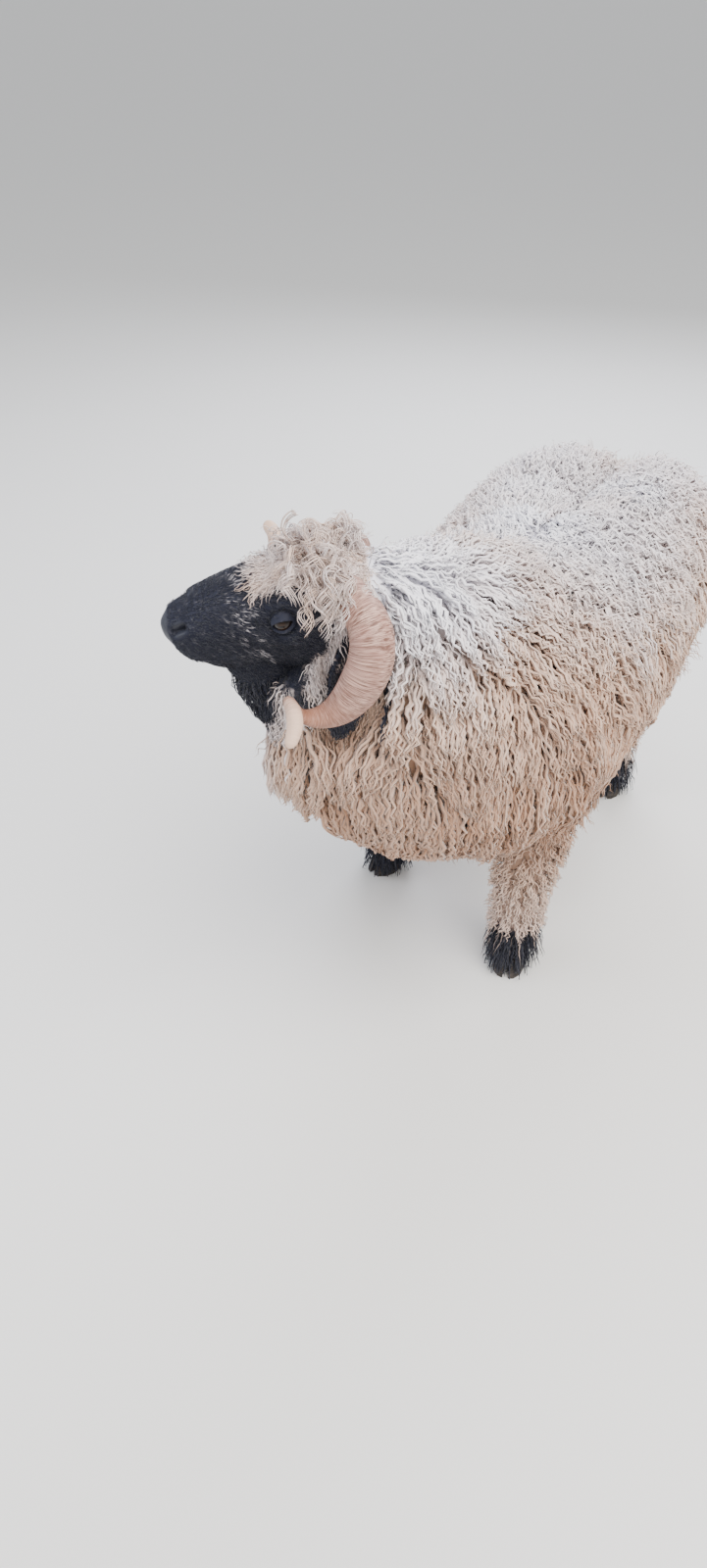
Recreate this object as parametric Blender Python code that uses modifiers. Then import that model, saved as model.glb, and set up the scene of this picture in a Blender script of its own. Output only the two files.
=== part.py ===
# Valais blacknose sheep, horned, standing with its head turned to its right.
# Metres, +Z up. The sheep faces -Y and its left side is +X.
import bpy
import bmesh
import math
import random
from mathutils import Matrix, Vector

# Driving sizes of the body, in full fleece.
BACK_HEIGHT = 0.80
TRUNK_HALF_WIDTH = 0.245
PARTING_DEPTH = 0.045
FLEECE_DEPTH = 0.066
CORE_INSET = 0.036
LOCK_WIDTH = 0.126
LOCK_THICKNESS = 0.028
LEG_WOOL_RADIUS = 0.050
FETLOCK_HEIGHT = 0.078
HOOF_HEIGHT = 0.040
HOOF_LENGTH = 0.070
HOOF_WIDTH = 0.056
GAP = 0.0003

# Driving sizes of the head. Its own frame is (forward, left, up) from the poll.
POLL = Vector((-0.072, -0.578, 0.857))
HEAD_TURN = math.radians(60)
HEAD_DIP = math.radians(-14)
HEAD_TILT = math.radians(15)
HEAD_LENGTH = 0.281
EYE_RADIUS = 0.0135
EYE_PLACE = Vector((0.125, 0.0535, 0.014))
HORN_RADIUS = 0.028
EAR_LENGTH = 0.150
EAR_WIDTH = 0.056

# Feet: where each hoof stands, and how far its toe turns outwards, in degrees.
FEET = {
    "foreleg_left": ((0.063, -0.304), 12),
    "foreleg_right": ((-0.255, -0.156), -22),
    "hindleg_left": ((0.063, 0.296), 10),
    "hindleg_right": ((-0.130, 0.330), -10),
}

for old in list(bpy.data.objects):
    bpy.data.objects.remove(old, do_unlink=True)

sheep = bpy.data.collections.new("valais_blacknose_sheep")
bpy.context.scene.collection.children.link(sheep)
workshop = bpy.data.collections.new("cutters")
bpy.context.scene.collection.children.link(workshop)


def material(name, colour, roughness, metallic=0.0):
    made = bpy.data.materials.new(name)
    made.use_nodes = True
    shader = made.node_tree.nodes["Principled BSDF"]
    shader.inputs["Base Color"].default_value = (*colour, 1.0)
    shader.inputs["Roughness"].default_value = roughness
    shader.inputs["Metallic"].default_value = metallic
    return made


FLEECE = material("fleece", (0.71, 0.62, 0.52), 0.95)
BACK_WOOL = material("back_wool", (0.78, 0.74, 0.72), 0.95)
BLACK_FUR = material("black_fur", (0.022, 0.021, 0.026), 0.85)
HORN = material("horn", (0.56, 0.40, 0.33), 0.55)
HOOF = material("hoof", (0.045, 0.038, 0.034), 0.5)
EYE = material("eye", (0.02, 0.014, 0.01), 0.08)


# Frames, rings and lofts

def head_axes():
    forward = Vector((-math.sin(HEAD_TURN) * math.cos(HEAD_DIP),
                      -math.cos(HEAD_TURN) * math.cos(HEAD_DIP),
                      math.sin(HEAD_DIP)))
    upright = (Vector((0, 0, 1)) - forward.z * forward).normalized()
    level = upright.cross(forward)
    left = level * math.cos(HEAD_TILT) - upright * math.sin(HEAD_TILT)
    up = upright * math.cos(HEAD_TILT) + level * math.sin(HEAD_TILT)
    return forward, left, up


FORWARD, LEFT, UP = head_axes()


def on_head(forward, left, up):
    """A place given in the head's own frame, in the sheep's frame."""
    return POLL + FORWARD * forward + LEFT * left + UP * up


class Section:
    """An oval across the body: its middle, its two directions and its three radii."""

    def __init__(self, centre, side, up, half, rise, drop, squareness=2.0, taper=0.0, dip=0.0):
        self.centre = centre
        self.side = side
        self.up = up
        self.half = half
        self.rise = rise
        self.drop = drop
        self.squareness = squareness
        self.taper = taper
        self.dip = dip

    def point(self, angle, inset=0.0):
        """A place on the oval, or that far inside it. Angle 0 is at its side, 90 degrees on top."""
        power = 2 / self.squareness
        across = math.copysign(abs(math.cos(angle)) ** power, math.cos(angle))
        height = math.copysign(abs(math.sin(angle)) ** power, math.sin(angle))
        wide = (self.half - inset) * across * (1 - self.taper * max(0.0, -height))
        tall = height * ((self.rise if height > 0 else self.drop) - inset)
        if height > 0:
            tall -= self.dip * math.exp(-(wide / 0.05) ** 2)
        return self.centre + self.side * wide + self.up * tall

    def ring(self, count, inset=0.0):
        return [self.point(2 * math.pi * step / count, inset) for step in range(count)]


def ring(centre, side, up, half, rise, drop, count):
    return Section(centre, side, up, half, rise, drop).ring(count)


def loft(name, rings, start=None, end=None):
    """Joins rings of equal count, closed by a point beyond each end or by a flat cap."""
    shape = bmesh.new()
    rows = [[shape.verts.new(point) for point in row] for row in rings]
    for low, high in zip(rows, rows[1:]):
        for here in range(len(low)):
            after = (here + 1) % len(low)
            shape.faces.new((low[here], low[after], high[after], high[here]))
    for row, tip in ((rows[0], start), (rows[-1], end)):
        if tip is None:
            shape.faces.new(row)
            continue
        top = shape.verts.new(tip)
        for here in range(len(row)):
            shape.faces.new((row[here], row[(here + 1) % len(row)], top))
    bmesh.ops.recalc_face_normals(shape, faces=shape.faces)
    if shape.calc_volume(signed=True) < 0:
        bmesh.ops.reverse_faces(shape, faces=shape.faces)
    mesh = bpy.data.meshes.new(name)
    shape.to_mesh(mesh)
    shape.free()
    return place(name, mesh)


def place(name, mesh):
    """A working object, all in triangles so that cuts and their neighbours agree."""
    shape = bmesh.new()
    shape.from_mesh(mesh)
    bmesh.ops.triangulate(shape, faces=shape.faces)
    shape.to_mesh(mesh)
    shape.free()
    made = bpy.data.objects.new(name, mesh)
    workshop.objects.link(made)
    made.hide_render = True
    made.display_type = "WIRE"
    return made


def spline(points, count):
    """Points evenly spread in number along a smooth curve through the given ones."""
    smooth = []
    last = len(points) - 1
    for step in range(count):
        where = step / (count - 1) * last
        index = min(int(where), last - 1)
        part = where - index
        before = points[max(index - 1, 0)]
        here = points[index]
        after = points[index + 1]
        beyond = points[min(index + 2, last)]
        smooth.append(0.5 * (2 * here + (after - before) * part
                             + (2 * before - 5 * here + 4 * after - beyond) * part ** 2
                             + (3 * here - before - 3 * after + beyond) * part ** 3))
    return smooth


def tube(name, path, radii, count, flatness=1.0, start=None, end=None):
    """A loft of ovals square to a path, carried along it without twist."""
    rings = []
    side = None
    for step, centre in enumerate(path):
        ahead = path[min(step + 1, len(path) - 1)]
        behind = path[max(step - 1, 0)]
        tangent = (ahead - behind).normalized()
        if side is None:
            side = tangent.orthogonal().normalized()
        side = (side - tangent * side.dot(tangent)).normalized()
        up = tangent.cross(side)
        radius = radii[step]
        rings.append(ring(centre, side, up, radius, radius * flatness, radius * flatness, count))
    return loft(name, rings, start, end)


def wire(name, points, radius, cyclic=False, resolution=0):
    """A bevelled curve turned into a closed mesh."""
    data = bpy.data.curves.new(name, "CURVE")
    data.dimensions = "3D"
    data.bevel_depth = radius
    data.bevel_resolution = resolution
    data.use_fill_caps = True
    line = data.splines.new("POLY")
    line.points.add(len(points) - 1)
    for slot, point in zip(line.points, points):
        slot.co = (*point, 1.0)
    line.use_cyclic_u = cyclic
    guide = bpy.data.objects.new(name + "_guide", data)
    workshop.objects.link(guide)
    bpy.context.view_layer.update()
    view = bpy.context.evaluated_depsgraph_get()
    mesh = bpy.data.meshes.new_from_object(guide.evaluated_get(view))
    bpy.data.objects.remove(guide, do_unlink=True)
    shape = bmesh.new()
    shape.from_mesh(mesh)
    bmesh.ops.remove_doubles(shape, verts=shape.verts, dist=0.00001)
    bmesh.ops.recalc_face_normals(shape, faces=shape.faces)
    shape.to_mesh(mesh)
    shape.free()
    return place(name, mesh)


def ball(name, centre, axes, sizes, segments=12, rings=8):
    shape = bmesh.new()
    turn = Matrix((axes[0], axes[1], axes[2])).transposed().to_4x4()
    bmesh.ops.create_uvsphere(shape, u_segments=segments, v_segments=rings, radius=1.0)
    bmesh.ops.transform(shape, matrix=Matrix.Translation(centre) @ turn
                        @ Matrix.Diagonal((*sizes, 1.0)), verts=shape.verts)
    bmesh.ops.recalc_face_normals(shape, faces=shape.faces)
    mesh = bpy.data.meshes.new(name)
    shape.to_mesh(mesh)
    shape.free()
    return place(name, mesh)


# Joining and cutting

def apply_modifiers(target):
    bpy.context.view_layer.update()
    view = bpy.context.evaluated_depsgraph_get()
    mesh = bpy.data.meshes.new_from_object(target.evaluated_get(view))
    target.modifiers.clear()
    target.data = mesh
    return target


def combine(target, others, operation):
    """One Boolean with a collection of closed objects, which are then removed."""
    group = bpy.data.collections.new("operands")
    workshop.children.link(group)
    for other in others:
        workshop.objects.unlink(other)
        group.objects.link(other)
    step = target.modifiers.new(operation.lower(), "BOOLEAN")
    step.operation = operation
    step.operand_type = "COLLECTION"
    step.collection = group
    step.solver = "MANIFOLD"
    apply_modifiers(target)
    for other in others:
        bpy.data.objects.remove(other, do_unlink=True)
    bpy.data.collections.remove(group)
    return target


def grown(source, distance=GAP):
    """A copy pushed out along its normals, to cut its neighbours clear of it."""
    mesh = source.data.copy()
    shape = bmesh.new()
    shape.from_mesh(mesh)
    shape.normal_update()
    moves = []
    for vertex in shape.verts:
        narrowest = min(max(vertex.normal.dot(face.normal), 0.35) for face in vertex.link_faces)
        moves.append(vertex.normal * (1.15 * distance / narrowest))
    for vertex, move in zip(shape.verts, moves):
        vertex.co += move
    shape.to_mesh(mesh)
    shape.free()
    return place(source.name + "_clearance", mesh)


def keep_largest(target):
    """Keeps the largest closed surface, so that scraps and sealed hollows go."""
    shape = bmesh.new()
    shape.from_mesh(target.data)
    bmesh.ops.triangulate(shape, faces=shape.faces)
    left = set(shape.faces)
    islands = []
    while left:
        seed = left.pop()
        island = [seed]
        waiting = [seed]
        while waiting:
            face = waiting.pop()
            for line in face.edges:
                if len(line.link_faces) != 2:
                    continue
                for other in line.link_faces:
                    if other in left:
                        left.remove(other)
                        island.append(other)
                        waiting.append(other)
        islands.append(island)
    islands.sort(key=spread, reverse=True)
    extra = [face for island in islands[1:] for face in island]
    bmesh.ops.delete(shape, geom=extra, context="FACES")
    shape.to_mesh(target.data)
    shape.free()
    return target


def spread(island):
    """The diagonal of the box round some faces."""
    places = [corner.co for face in island for corner in face.verts]
    low = Vector([min(place_now[axis] for place_now in places) for axis in range(3)])
    high = Vector([max(place_now[axis] for place_now in places) for axis in range(3)])
    return (high - low).length


def half_space(name, point, normal, size=3.0):
    """A large block on the side that the normal points to."""
    shape = bmesh.new()
    bmesh.ops.create_cube(shape, size=size)
    turn = normal.normalized().to_track_quat("Z", "Y").to_matrix().to_4x4()
    middle = point + normal.normalized() * (size / 2)
    bmesh.ops.transform(shape, matrix=Matrix.Translation(middle) @ turn, verts=shape.verts)
    mesh = bpy.data.meshes.new(name)
    shape.to_mesh(mesh)
    shape.free()
    return place(name, mesh)


def finish(target, look):
    """Moves a finished piece from the workshop to the sheep."""
    workshop.objects.unlink(target)
    sheep.objects.link(target)
    target.hide_render = False
    target.display_type = "TEXTURED"
    keep_largest(target)
    target.data.materials.clear()
    target.data.materials.append(look)
    target.data.shade_smooth()
    target.data.set_sharp_from_angle(angle=math.radians(40))
    return target


rooms = {}


def keep_room(*pieces):
    """Remembers the space that pieces need, before they are cut themselves."""
    for piece in pieces:
        clearance = grown(piece)
        rooms[piece.name] = clearance.data
        bpy.data.objects.remove(clearance, do_unlink=True)


def room(*names):
    return [place(name + "_room", rooms[name].copy()) for name in names]


def fuse(core, locks):
    """Joins locks to their core, and remembers the space that all of them need."""
    clearance = combine(grown(core), [grown(piece) for piece in locks], "UNION")
    rooms[core.name] = clearance.data
    bpy.data.objects.remove(clearance, do_unlink=True)
    return combine(core, locks, "UNION")


# Horns: one open turn beside the cheek, the tip flaring outwards.

def horn(side, clearance=False):
    """A horn with its growth rings, or a plainer, fatter one that cuts the wool clear of it."""
    centres = [(0.038, 0.043, 0.013), (0.025, 0.083, -0.001), (0.029, 0.104, -0.025),
               (0.048, 0.115, -0.056), (0.080, 0.120, -0.085), (0.109, 0.125, -0.091),
               (0.127, 0.130, -0.076), (0.135, 0.145, -0.040), (0.135, 0.175, -0.036),
               (0.147, 0.210, -0.041)]
    widths = [0.88, 0.95, 0.98, 0.98, 0.84, 0.64, 0.48, 0.40, 0.34, 0.10]
    if side < 0:
        # The right horn rises less from the poll
        centres[:3] = [(0.042, 0.040, 0.004), (0.034, 0.074, -0.010), (0.036, 0.098, -0.032)]
        widths[:3] = [0.82, 0.88, 0.94]
    points = [Vector((forward, side * left, up)) for forward, left, up in centres]
    sizes = [Vector((width, 0, 0)) for width in widths]
    stations = 19 if clearance else 28
    path = [on_head(*point) for point in spline(points, stations)]
    radii = []
    for step, size in enumerate(spline(sizes, stations)):
        growth_ring = 1.0 + (0.035 if step % 2 else -0.02) * min(1.0, size.x)
        radii.append(HORN_RADIUS * size.x * growth_ring)
    if clearance:
        radii = [HORN_RADIUS * (size.x * 1.12 + 0.03) for size in spline(sizes, stations)]
    name = "horn_left" if side > 0 else "horn_right"
    tip = path[-1] + (path[-1] - path[-2]).normalized() * (0.010 if clearance else 0.004)
    return tube(name, path, radii, 8 if clearance else 10, 0.92, None, tip)


# Eyes, with lids made as an almond of thicker skin round each.

def eye(side):
    centre = on_head(EYE_PLACE.x, side * EYE_PLACE.y, EYE_PLACE.z)
    name = "eye_left" if side > 0 else "eye_right"
    return ball(name, centre, (FORWARD, LEFT, UP), (EYE_RADIUS,) * 3, 12, 8)


def lids(side):
    points = []
    count = 10
    for step in range(count):
        angle = 2 * math.pi * step / count
        forward = EYE_PLACE.x + 0.0175 * math.cos(angle)
        up = EYE_PLACE.z + 0.0095 * math.sin(angle) + 0.002 * math.cos(angle)
        left = EYE_PLACE.y + 0.0095 - 0.003 * abs(math.cos(angle)) + 0.002 * math.sin(angle)
        points.append(on_head(forward, side * left, up))
    return wire("lid", points, 0.0036, cyclic=True)


# Ears: a cupped leaf that hangs inside the horn's turn.

def ear(side):
    root = Vector((0.045, 0.058, -0.036))
    tip = Vector((0.103, 0.086, -0.182))
    along = (tip - root).normalized()
    across = Vector((0.92, 0.10, 0.36))
    across = (across - along * across.dot(along)).normalized()
    facing = across.cross(along)
    if facing.y < 0:
        facing = -facing
    shape = bmesh.new()
    rows = []
    lengths = 9
    for step in range(lengths):
        share = step / (lengths - 1)
        half = EAR_WIDTH / 2 * math.sin(math.pi * (0.14 + 0.80 * share)) ** 0.7
        cup = 0.012 * (1 - share) + 0.003
        row = []
        for place_across in (-1.0, -0.5, 0.0, 0.5, 1.0):
            hollow = cup * (place_across ** 2 - 0.5)
            point = root + along * (EAR_LENGTH * share) + across * (half * place_across)
            point += facing * (hollow + 0.006 * math.sin(math.pi * share))
            row.append(shape.verts.new(on_head(point.x, side * point.y, point.z)))
        rows.append(row)
    for low, high in zip(rows, rows[1:]):
        for here in range(4):
            shape.faces.new((low[here], low[here + 1], high[here + 1], high[here]))
    bmesh.ops.recalc_face_normals(shape, faces=shape.faces)
    name = "ear_left" if side > 0 else "ear_right"
    mesh = bpy.data.meshes.new(name)
    shape.to_mesh(mesh)
    shape.free()
    leaf = place(name, mesh)
    thick = leaf.modifiers.new("thickness", "SOLIDIFY")
    thick.thickness = 0.006
    thick.offset = 0.0
    return apply_modifiers(leaf)


# Head: lofted from the lips to the poll, with the throat below it.

HEAD_RINGS = [
    (0.275, 0.026, 0.016, 0.045), (0.262, 0.040, 0.026, 0.066), (0.240, 0.048, 0.035, 0.079),
    (0.212, 0.052, 0.043, 0.086), (0.180, 0.053, 0.049, 0.089), (0.150, 0.057, 0.053, 0.100),
    (0.120, 0.066, 0.056, 0.116), (0.090, 0.070, 0.056, 0.126), (0.060, 0.069, 0.050, 0.126),
    (0.030, 0.062, 0.035, 0.115), (0.000, 0.048, 0.012, 0.090),
]


def head_body():
    rings = []
    for forward, half, rise, drop in HEAD_RINGS:
        rings.append(Section(on_head(forward, 0, 0), LEFT, UP, half, rise, drop, 2.35, 0.26).ring(16))
    nose = on_head(HEAD_LENGTH, 0, -0.015)
    return loft("head", rings, nose, on_head(-0.012, 0, -0.03))


def throat():
    """Fur of the throat, from under the jaw to the wool of the neck."""
    levels = [(0.205, -0.070, 0.036, 0.048), (0.198, -0.110, 0.034, 0.048),
              (0.192, -0.150, 0.031, 0.048), (0.187, -0.190, 0.027, 0.044),
              (0.182, -0.222, 0.018, 0.034)]
    rings = []
    for forward, up, half, deep in levels:
        centre = on_head(forward - 0.030, 0, up)
        rings.append(ring(centre, LEFT, FORWARD, half, deep + 0.012, deep, 10))
    return loft("throat", rings)


def mouth_line():
    half_line = [(0.279, 0.000), (0.274, 0.024), (0.260, 0.043), (0.236, 0.0505), (0.208, 0.0525)]
    path = [(forward, -left) for forward, left in reversed(half_line)] + half_line[1:]
    points = []
    for forward, left in path:
        points.append(on_head(forward, left, -0.036 - 0.10 * (HEAD_LENGTH - forward)))
    return wire("mouth_line", points, 0.0022)


def lip_cleft():
    points = [on_head(0.2835, 0, 0.004), on_head(0.2835, 0, -0.018), on_head(0.2805, 0, -0.038)]
    return wire("lip_cleft", points, 0.0018)


def nostril(side):
    centre = on_head(0.2685, side * 0.0225, 0.006)
    slant = (FORWARD * -0.55 + LEFT * side * 0.55 + UP * 0.55).normalized()
    outward = (FORWARD * 0.8 + LEFT * side * 0.6)
    outward = (outward - slant * outward.dot(slant)).normalized()
    return ball("nostril", centre, (slant, outward, slant.cross(outward)), (0.0105, 0.010, 0.0038), 8, 6)


# Locks: flat, tapered and bent, rooted in a core and reaching the full fleece.

draw = random.Random(11)


def lock(name, path, outwards, width, thickness):
    """A lock of four sides: a root, its widest place, a narrower one and the tip."""
    rings = []
    for step, wide, thick in ((1, 1.00, 1.00), (2, 0.72, 0.76)):
        tangent = (path[step + 1] - path[step - 1]).normalized()
        side = tangent.cross(outwards[step]).normalized()
        out = side.cross(tangent)
        half = width / 2 * wide
        low = path[step] - out * thickness * thick * 0.5
        high = path[step] + out * thickness * thick * 0.5
        rings.append([low + side * half, high + side * half * 0.55, high - side * half * 0.55,
                      low - side * half])
    return loft(name, rings, path[0], path[3])


def surface(section_at, along, angle):
    """A place on the fleece, its outward direction and how it moves along and round."""
    step = 0.002
    here = section_at(along).point(angle)
    forward = (section_at(along + step).point(angle) - section_at(along - step).point(angle)) / (2 * step)
    around = (section_at(along).point(angle + step) - section_at(along).point(angle - step)) / (2 * step)
    out = forward.cross(around).normalized()
    if out.dot(here - section_at(along).centre) < 0:
        out = -out
    return here, out, forward, around


def fleece_lock(section_at, along, angle, length, width, thickness, away=0.5, back=0.12, drop=1.0):
    """A lock that leaves the core and lies away from the parting, backwards and down."""
    path = []
    outwards = []
    covered = 0.0
    section = section_at(along)
    sideways = section.side * math.copysign(1.0, math.cos(angle))
    fall = sideways * away + Vector((0, back, -drop))
    for share, depth in ((0.0, 1.25), (0.36, 0.40), (0.80, 0.20), (1.0, 0.14)):
        here, out, forward, around = surface(section_at, along, angle)
        move = length * (share - covered)
        covered = share
        way = fall - out * fall.dot(out)
        if way.length > 0.05:
            way = way.normalized() * move
            gram = forward.dot(forward), forward.dot(around), around.dot(around)
            onto = way.dot(forward), way.dot(around)
            scale = max(gram[0] * gram[2] - gram[1] ** 2, 1e-9)
            along += (onto[0] * gram[2] - onto[1] * gram[1]) / scale
            angle += (onto[1] * gram[0] - onto[0] * gram[1]) / scale
        here, out, forward, around = surface(section_at, along, angle)
        path.append(here - out * FLEECE_DEPTH * depth)
        outwards.append(out)
    return lock("lock", path, outwards, width, thickness)


def between(low, high, share):
    return low + (high - low) * share


# Trunk: each ring gives its place along Y, its top, its bottom and half its width.

TRUNK_RINGS = [
    (-0.44, 0.67, 0.36, 0.150), (-0.36, 0.76, 0.32, 0.200), (-0.25, 0.79, 0.328, 0.224),
    (-0.12, 0.80, 0.368, 0.240), (0.00, 0.80, 0.408, 0.242), (0.12, 0.80, 0.428, 0.245),
    (0.22, 0.79, 0.428, 0.238), (0.30, 0.77, 0.44, 0.200), (0.35, 0.72, 0.48, 0.140),
]


def trunk_section(y):
    y = min(max(y, TRUNK_RINGS[0][0]), TRUNK_RINGS[-1][0])
    index = 0
    while y > TRUNK_RINGS[index + 1][0]:
        index += 1
    here = TRUNK_RINGS[index]
    after = TRUNK_RINGS[index + 1]
    share = (y - here[0]) / (after[0] - here[0])
    top, bottom, half = (between(here[field], after[field], share) for field in (1, 2, 3))
    top *= BACK_HEIGHT / 0.80
    half *= TRUNK_HALF_WIDTH / 0.245
    middle = bottom + 0.46 * (top - bottom)
    opening = min(1.0, max(0.0, (y + 0.14) / 0.12), max(0.2, (0.37 - y) / 0.06))
    dip = PARTING_DEPTH * opening if y > -0.14 else 0.0
    return Section(Vector((0, y, middle)), Vector((1, 0, 0)), Vector((0, 0, 1)), half,
                   top - middle, middle - bottom, 2.2, 0.22, dip)


def trunk_core():
    rings = [trunk_section(row[0]).ring(12, CORE_INSET) for row in TRUNK_RINGS]
    return loft("torso", rings, Vector((0, -0.46, 0.50)), Vector((0, 0.360, 0.60)))


def trunk_locks():
    """Rows of locks from the parting down to the belly, on both sides."""
    # Each row: its angle, the locks' length, their count, and their lie away, back and down.
    rows = [(85, 0.135, 6, 2.5, 0.4, 0.5), (62, 0.165, 6, 1.0, 0.2, 1.0), (30, 0.180, 6, 0.0, 0.12, 1.0),
            (0, 0.180, 6, 0.0, 0.12, 1.0), (-30, 0.160, 6, 0.0, 0.2, 1.0), (-66, 0.150, 4, -0.2, 1.0, 0.0)]
    made = []
    for number, (degrees, length, count, away, back, drop) in enumerate(rows):
        for side in (1, -1):
            for step in range(count):
                y = -0.385 + 0.735 * (step + 0.5 * (number % 2) + 0.1) / count
                y += draw.uniform(-0.008, 0.008)
                angle = math.radians(degrees + draw.uniform(-2, 2))
                if side < 0:
                    angle = math.pi - angle
                size = draw.uniform(0.94, 1.08)
                made.append(fleece_lock(trunk_section, y, angle, length * size, LOCK_WIDTH * size,
                                        LOCK_THICKNESS, away, back, drop))
    return made


def rump_locks():
    """Locks that hang over the rounded end of the rump, in rows of a height, a count and a reach."""
    made = []
    for height, count, reach_out in ((0.715, 3, 0.085), (0.63, 4, 0.125), (0.55, 3, 0.105)):
        for step in range(count):
            across = (step - (count - 1) / 2) / (count / 2) * reach_out
            bow = 0.385 - 1.6 * across ** 2
            lean = Vector((0.8 * across, 0.12, 0)).normalized()
            start = Vector((across, bow - 0.065, height))
            path = [start, start + Vector((across * 0.08, 0.042, -0.018)),
                    start + Vector((across * 0.12, 0.050, -0.080)),
                    start + Vector((across * 0.10, 0.038, -0.122))]
            outwards = [Vector((0, 0.3, 0.9)).normalized()] + [lean] * 3
            made.append(lock("lock", path, outwards, 0.076, 0.030))
    return made


# Neck: each ring gives its crest, its throat and half its width.

NECK_RINGS = [
    ((0.000, -0.180, 0.790), (0.000, -0.220, 0.330), 0.222),
    ((-0.006, -0.300, 0.815), (-0.016, -0.360, 0.310), 0.216),
    ((-0.018, -0.390, 0.845), (-0.060, -0.465, 0.345), 0.191),
    ((-0.030, -0.460, 0.865), (-0.125, -0.560, 0.420), 0.162),
    ((-0.035, -0.520, 0.880), (-0.185, -0.612, 0.505), 0.130),
    ((-0.050, -0.565, 0.882), (-0.228, -0.632, 0.592), 0.108),
    ((-0.100, -0.595, 0.830), (-0.238, -0.640, 0.655), 0.088),
]


def neck_section(along):
    """The oval at a place along the neck, counted in rings."""
    last = len(NECK_RINGS) - 1
    along = min(max(along, 0.0), last - 0.001)
    index = int(along)
    share = along - index
    crest, under = (between(Vector(NECK_RINGS[index][field]), Vector(NECK_RINGS[index + 1][field]), share)
                    for field in (0, 1))
    half = between(NECK_RINGS[index][2], NECK_RINGS[index + 1][2], share)
    behind = NECK_RINGS[max(index - 1, 0)]
    ahead = NECK_RINGS[min(index + 1, last)]
    way = Vector(ahead[0]) + Vector(ahead[1]) - Vector(behind[0]) - Vector(behind[1])
    up = (crest - under).normalized()
    side = way.cross(up).normalized() * -1
    tall = (crest - under).length / 2
    return Section((crest + under) / 2, side, up, half, tall, tall, 2.1, 0.05)


def neck_core():
    rings = [neck_section(index).ring(10, CORE_INSET) for index in range(len(NECK_RINGS))]
    return loft("neck", rings, None, Vector((-0.160, -0.600, 0.745)))


def neck_locks():
    """Rows of locks from the crest down to the throat, on both sides."""
    made = []
    # Each row: its angle, the locks' length and their count. The lowest row starts behind the throat.
    rows = [(80, 0.150, 4), (40, 0.170, 4), (0, 0.175, 4), (-38, 0.165, 4), (-72, 0.140, 3)]
    for number, (degrees, length, count) in enumerate(rows):
        for side in (1, -1):
            for step in range(count):
                along = 1.45 + 1.18 * (step + 0.5 * (number % 2))
                if count == 3:
                    along += 1.3
                angle = math.radians(degrees + draw.uniform(-3, 3))
                if side < 0:
                    angle = math.pi - angle
                size = draw.uniform(0.92, 1.08)
                made.append(fleece_lock(neck_section, min(along, 5.8), angle, length * size,
                                        LOCK_WIDTH * size * 0.84, LOCK_THICKNESS))
    return made


# Forelock: ringlets that rise from the poll and fall over the forehead.

def forelock_core():
    return ball("forelock", on_head(0.070, 0.001, 0.042), (FORWARD, LEFT, UP), (0.060, 0.044, 0.036), 12, 7)


def forelock_locks():
    """Two tiers of ringlets: the inner ones stand up, the outer ones fall over the brow."""
    made = []
    # Each tier: how high its ringlets rise, how far they reach, how far they fall, and their count.
    tiers = [(0.046, 0.046, 0.030, 5), (0.030, 0.066, 0.066, 8)]
    for tier, (rise, spread_out, fall, count) in enumerate(tiers):
        for step in range(count):
            turn = 2 * math.pi * (step + 0.5 * tier) / count + draw.uniform(-0.15, 0.15)
            ahead = math.cos(turn)
            aside = math.sin(turn)
            size = draw.uniform(0.9, 1.1)
            way = FORWARD * ahead + LEFT * aside
            base = 0.052 + draw.uniform(-0.004, 0.004)
            path = []
            outwards = []
            for out, height in ((0.0, 0.0), (0.50, rise), (0.95, rise - fall * 0.4), (1.0, rise - fall)):
                forward = 0.072 + ahead * (0.016 + out * spread_out * 1.05 * size)
                left = aside * (0.014 + out * spread_out * 0.78 * size)
                path.append(on_head(forward, left, base + height * size))
                outwards.append((UP * (1.7 - out) + way * (2.2 * out - 1.2)).normalized())
            made.append(lock("ringlet", path, outwards, 0.054 * size, 0.022))
    return made


# Tail: woolly, hanging to the hock.

TAIL_PATH = [((0, 0.330, 0.660), 0.030), ((0, 0.385, 0.630), 0.036), ((0, 0.415, 0.560), 0.040),
             ((0, 0.425, 0.470), 0.038), ((0.003, 0.422, 0.380), 0.030), ((0.004, 0.415, 0.310), 0.016)]


def tail():
    points = [Vector(centre) for centre, radius in TAIL_PATH]
    core = tube("tail", points, [radius for centre, radius in TAIL_PATH], 8, 0.8,
                None, Vector((0.004, 0.413, 0.300)))
    locks = []
    for level, height in enumerate((0.590, 0.490, 0.395)):
        for step in range(3):
            turn = 2 * math.pi * (step + 0.5 * (level % 2)) / 3
            out = Vector((math.sin(turn), math.cos(turn) * 0.8, 0))
            middle = Vector((0.002, 0.405 + 0.02 * min(1.0, (0.62 - height) / 0.1), height))
            wide = 0.052 - 0.012 * level / 3
            path = [middle + out * 0.010, middle + out * (wide - 0.014) + Vector((0, 0, -0.028)),
                    middle + out * (wide - 0.010) + Vector((0, 0, -0.080)),
                    middle + out * (wide - 0.022) + Vector((0, 0, -0.112))]
            locks.append(lock("lock", path, [(out + Vector((0, 0, 0.8))).normalized()] + [out] * 3,
                              0.070, 0.024))
    return fuse(core, locks)


# Legs: wool down to the fetlock, then black fur, then the cloven hoof.

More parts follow.
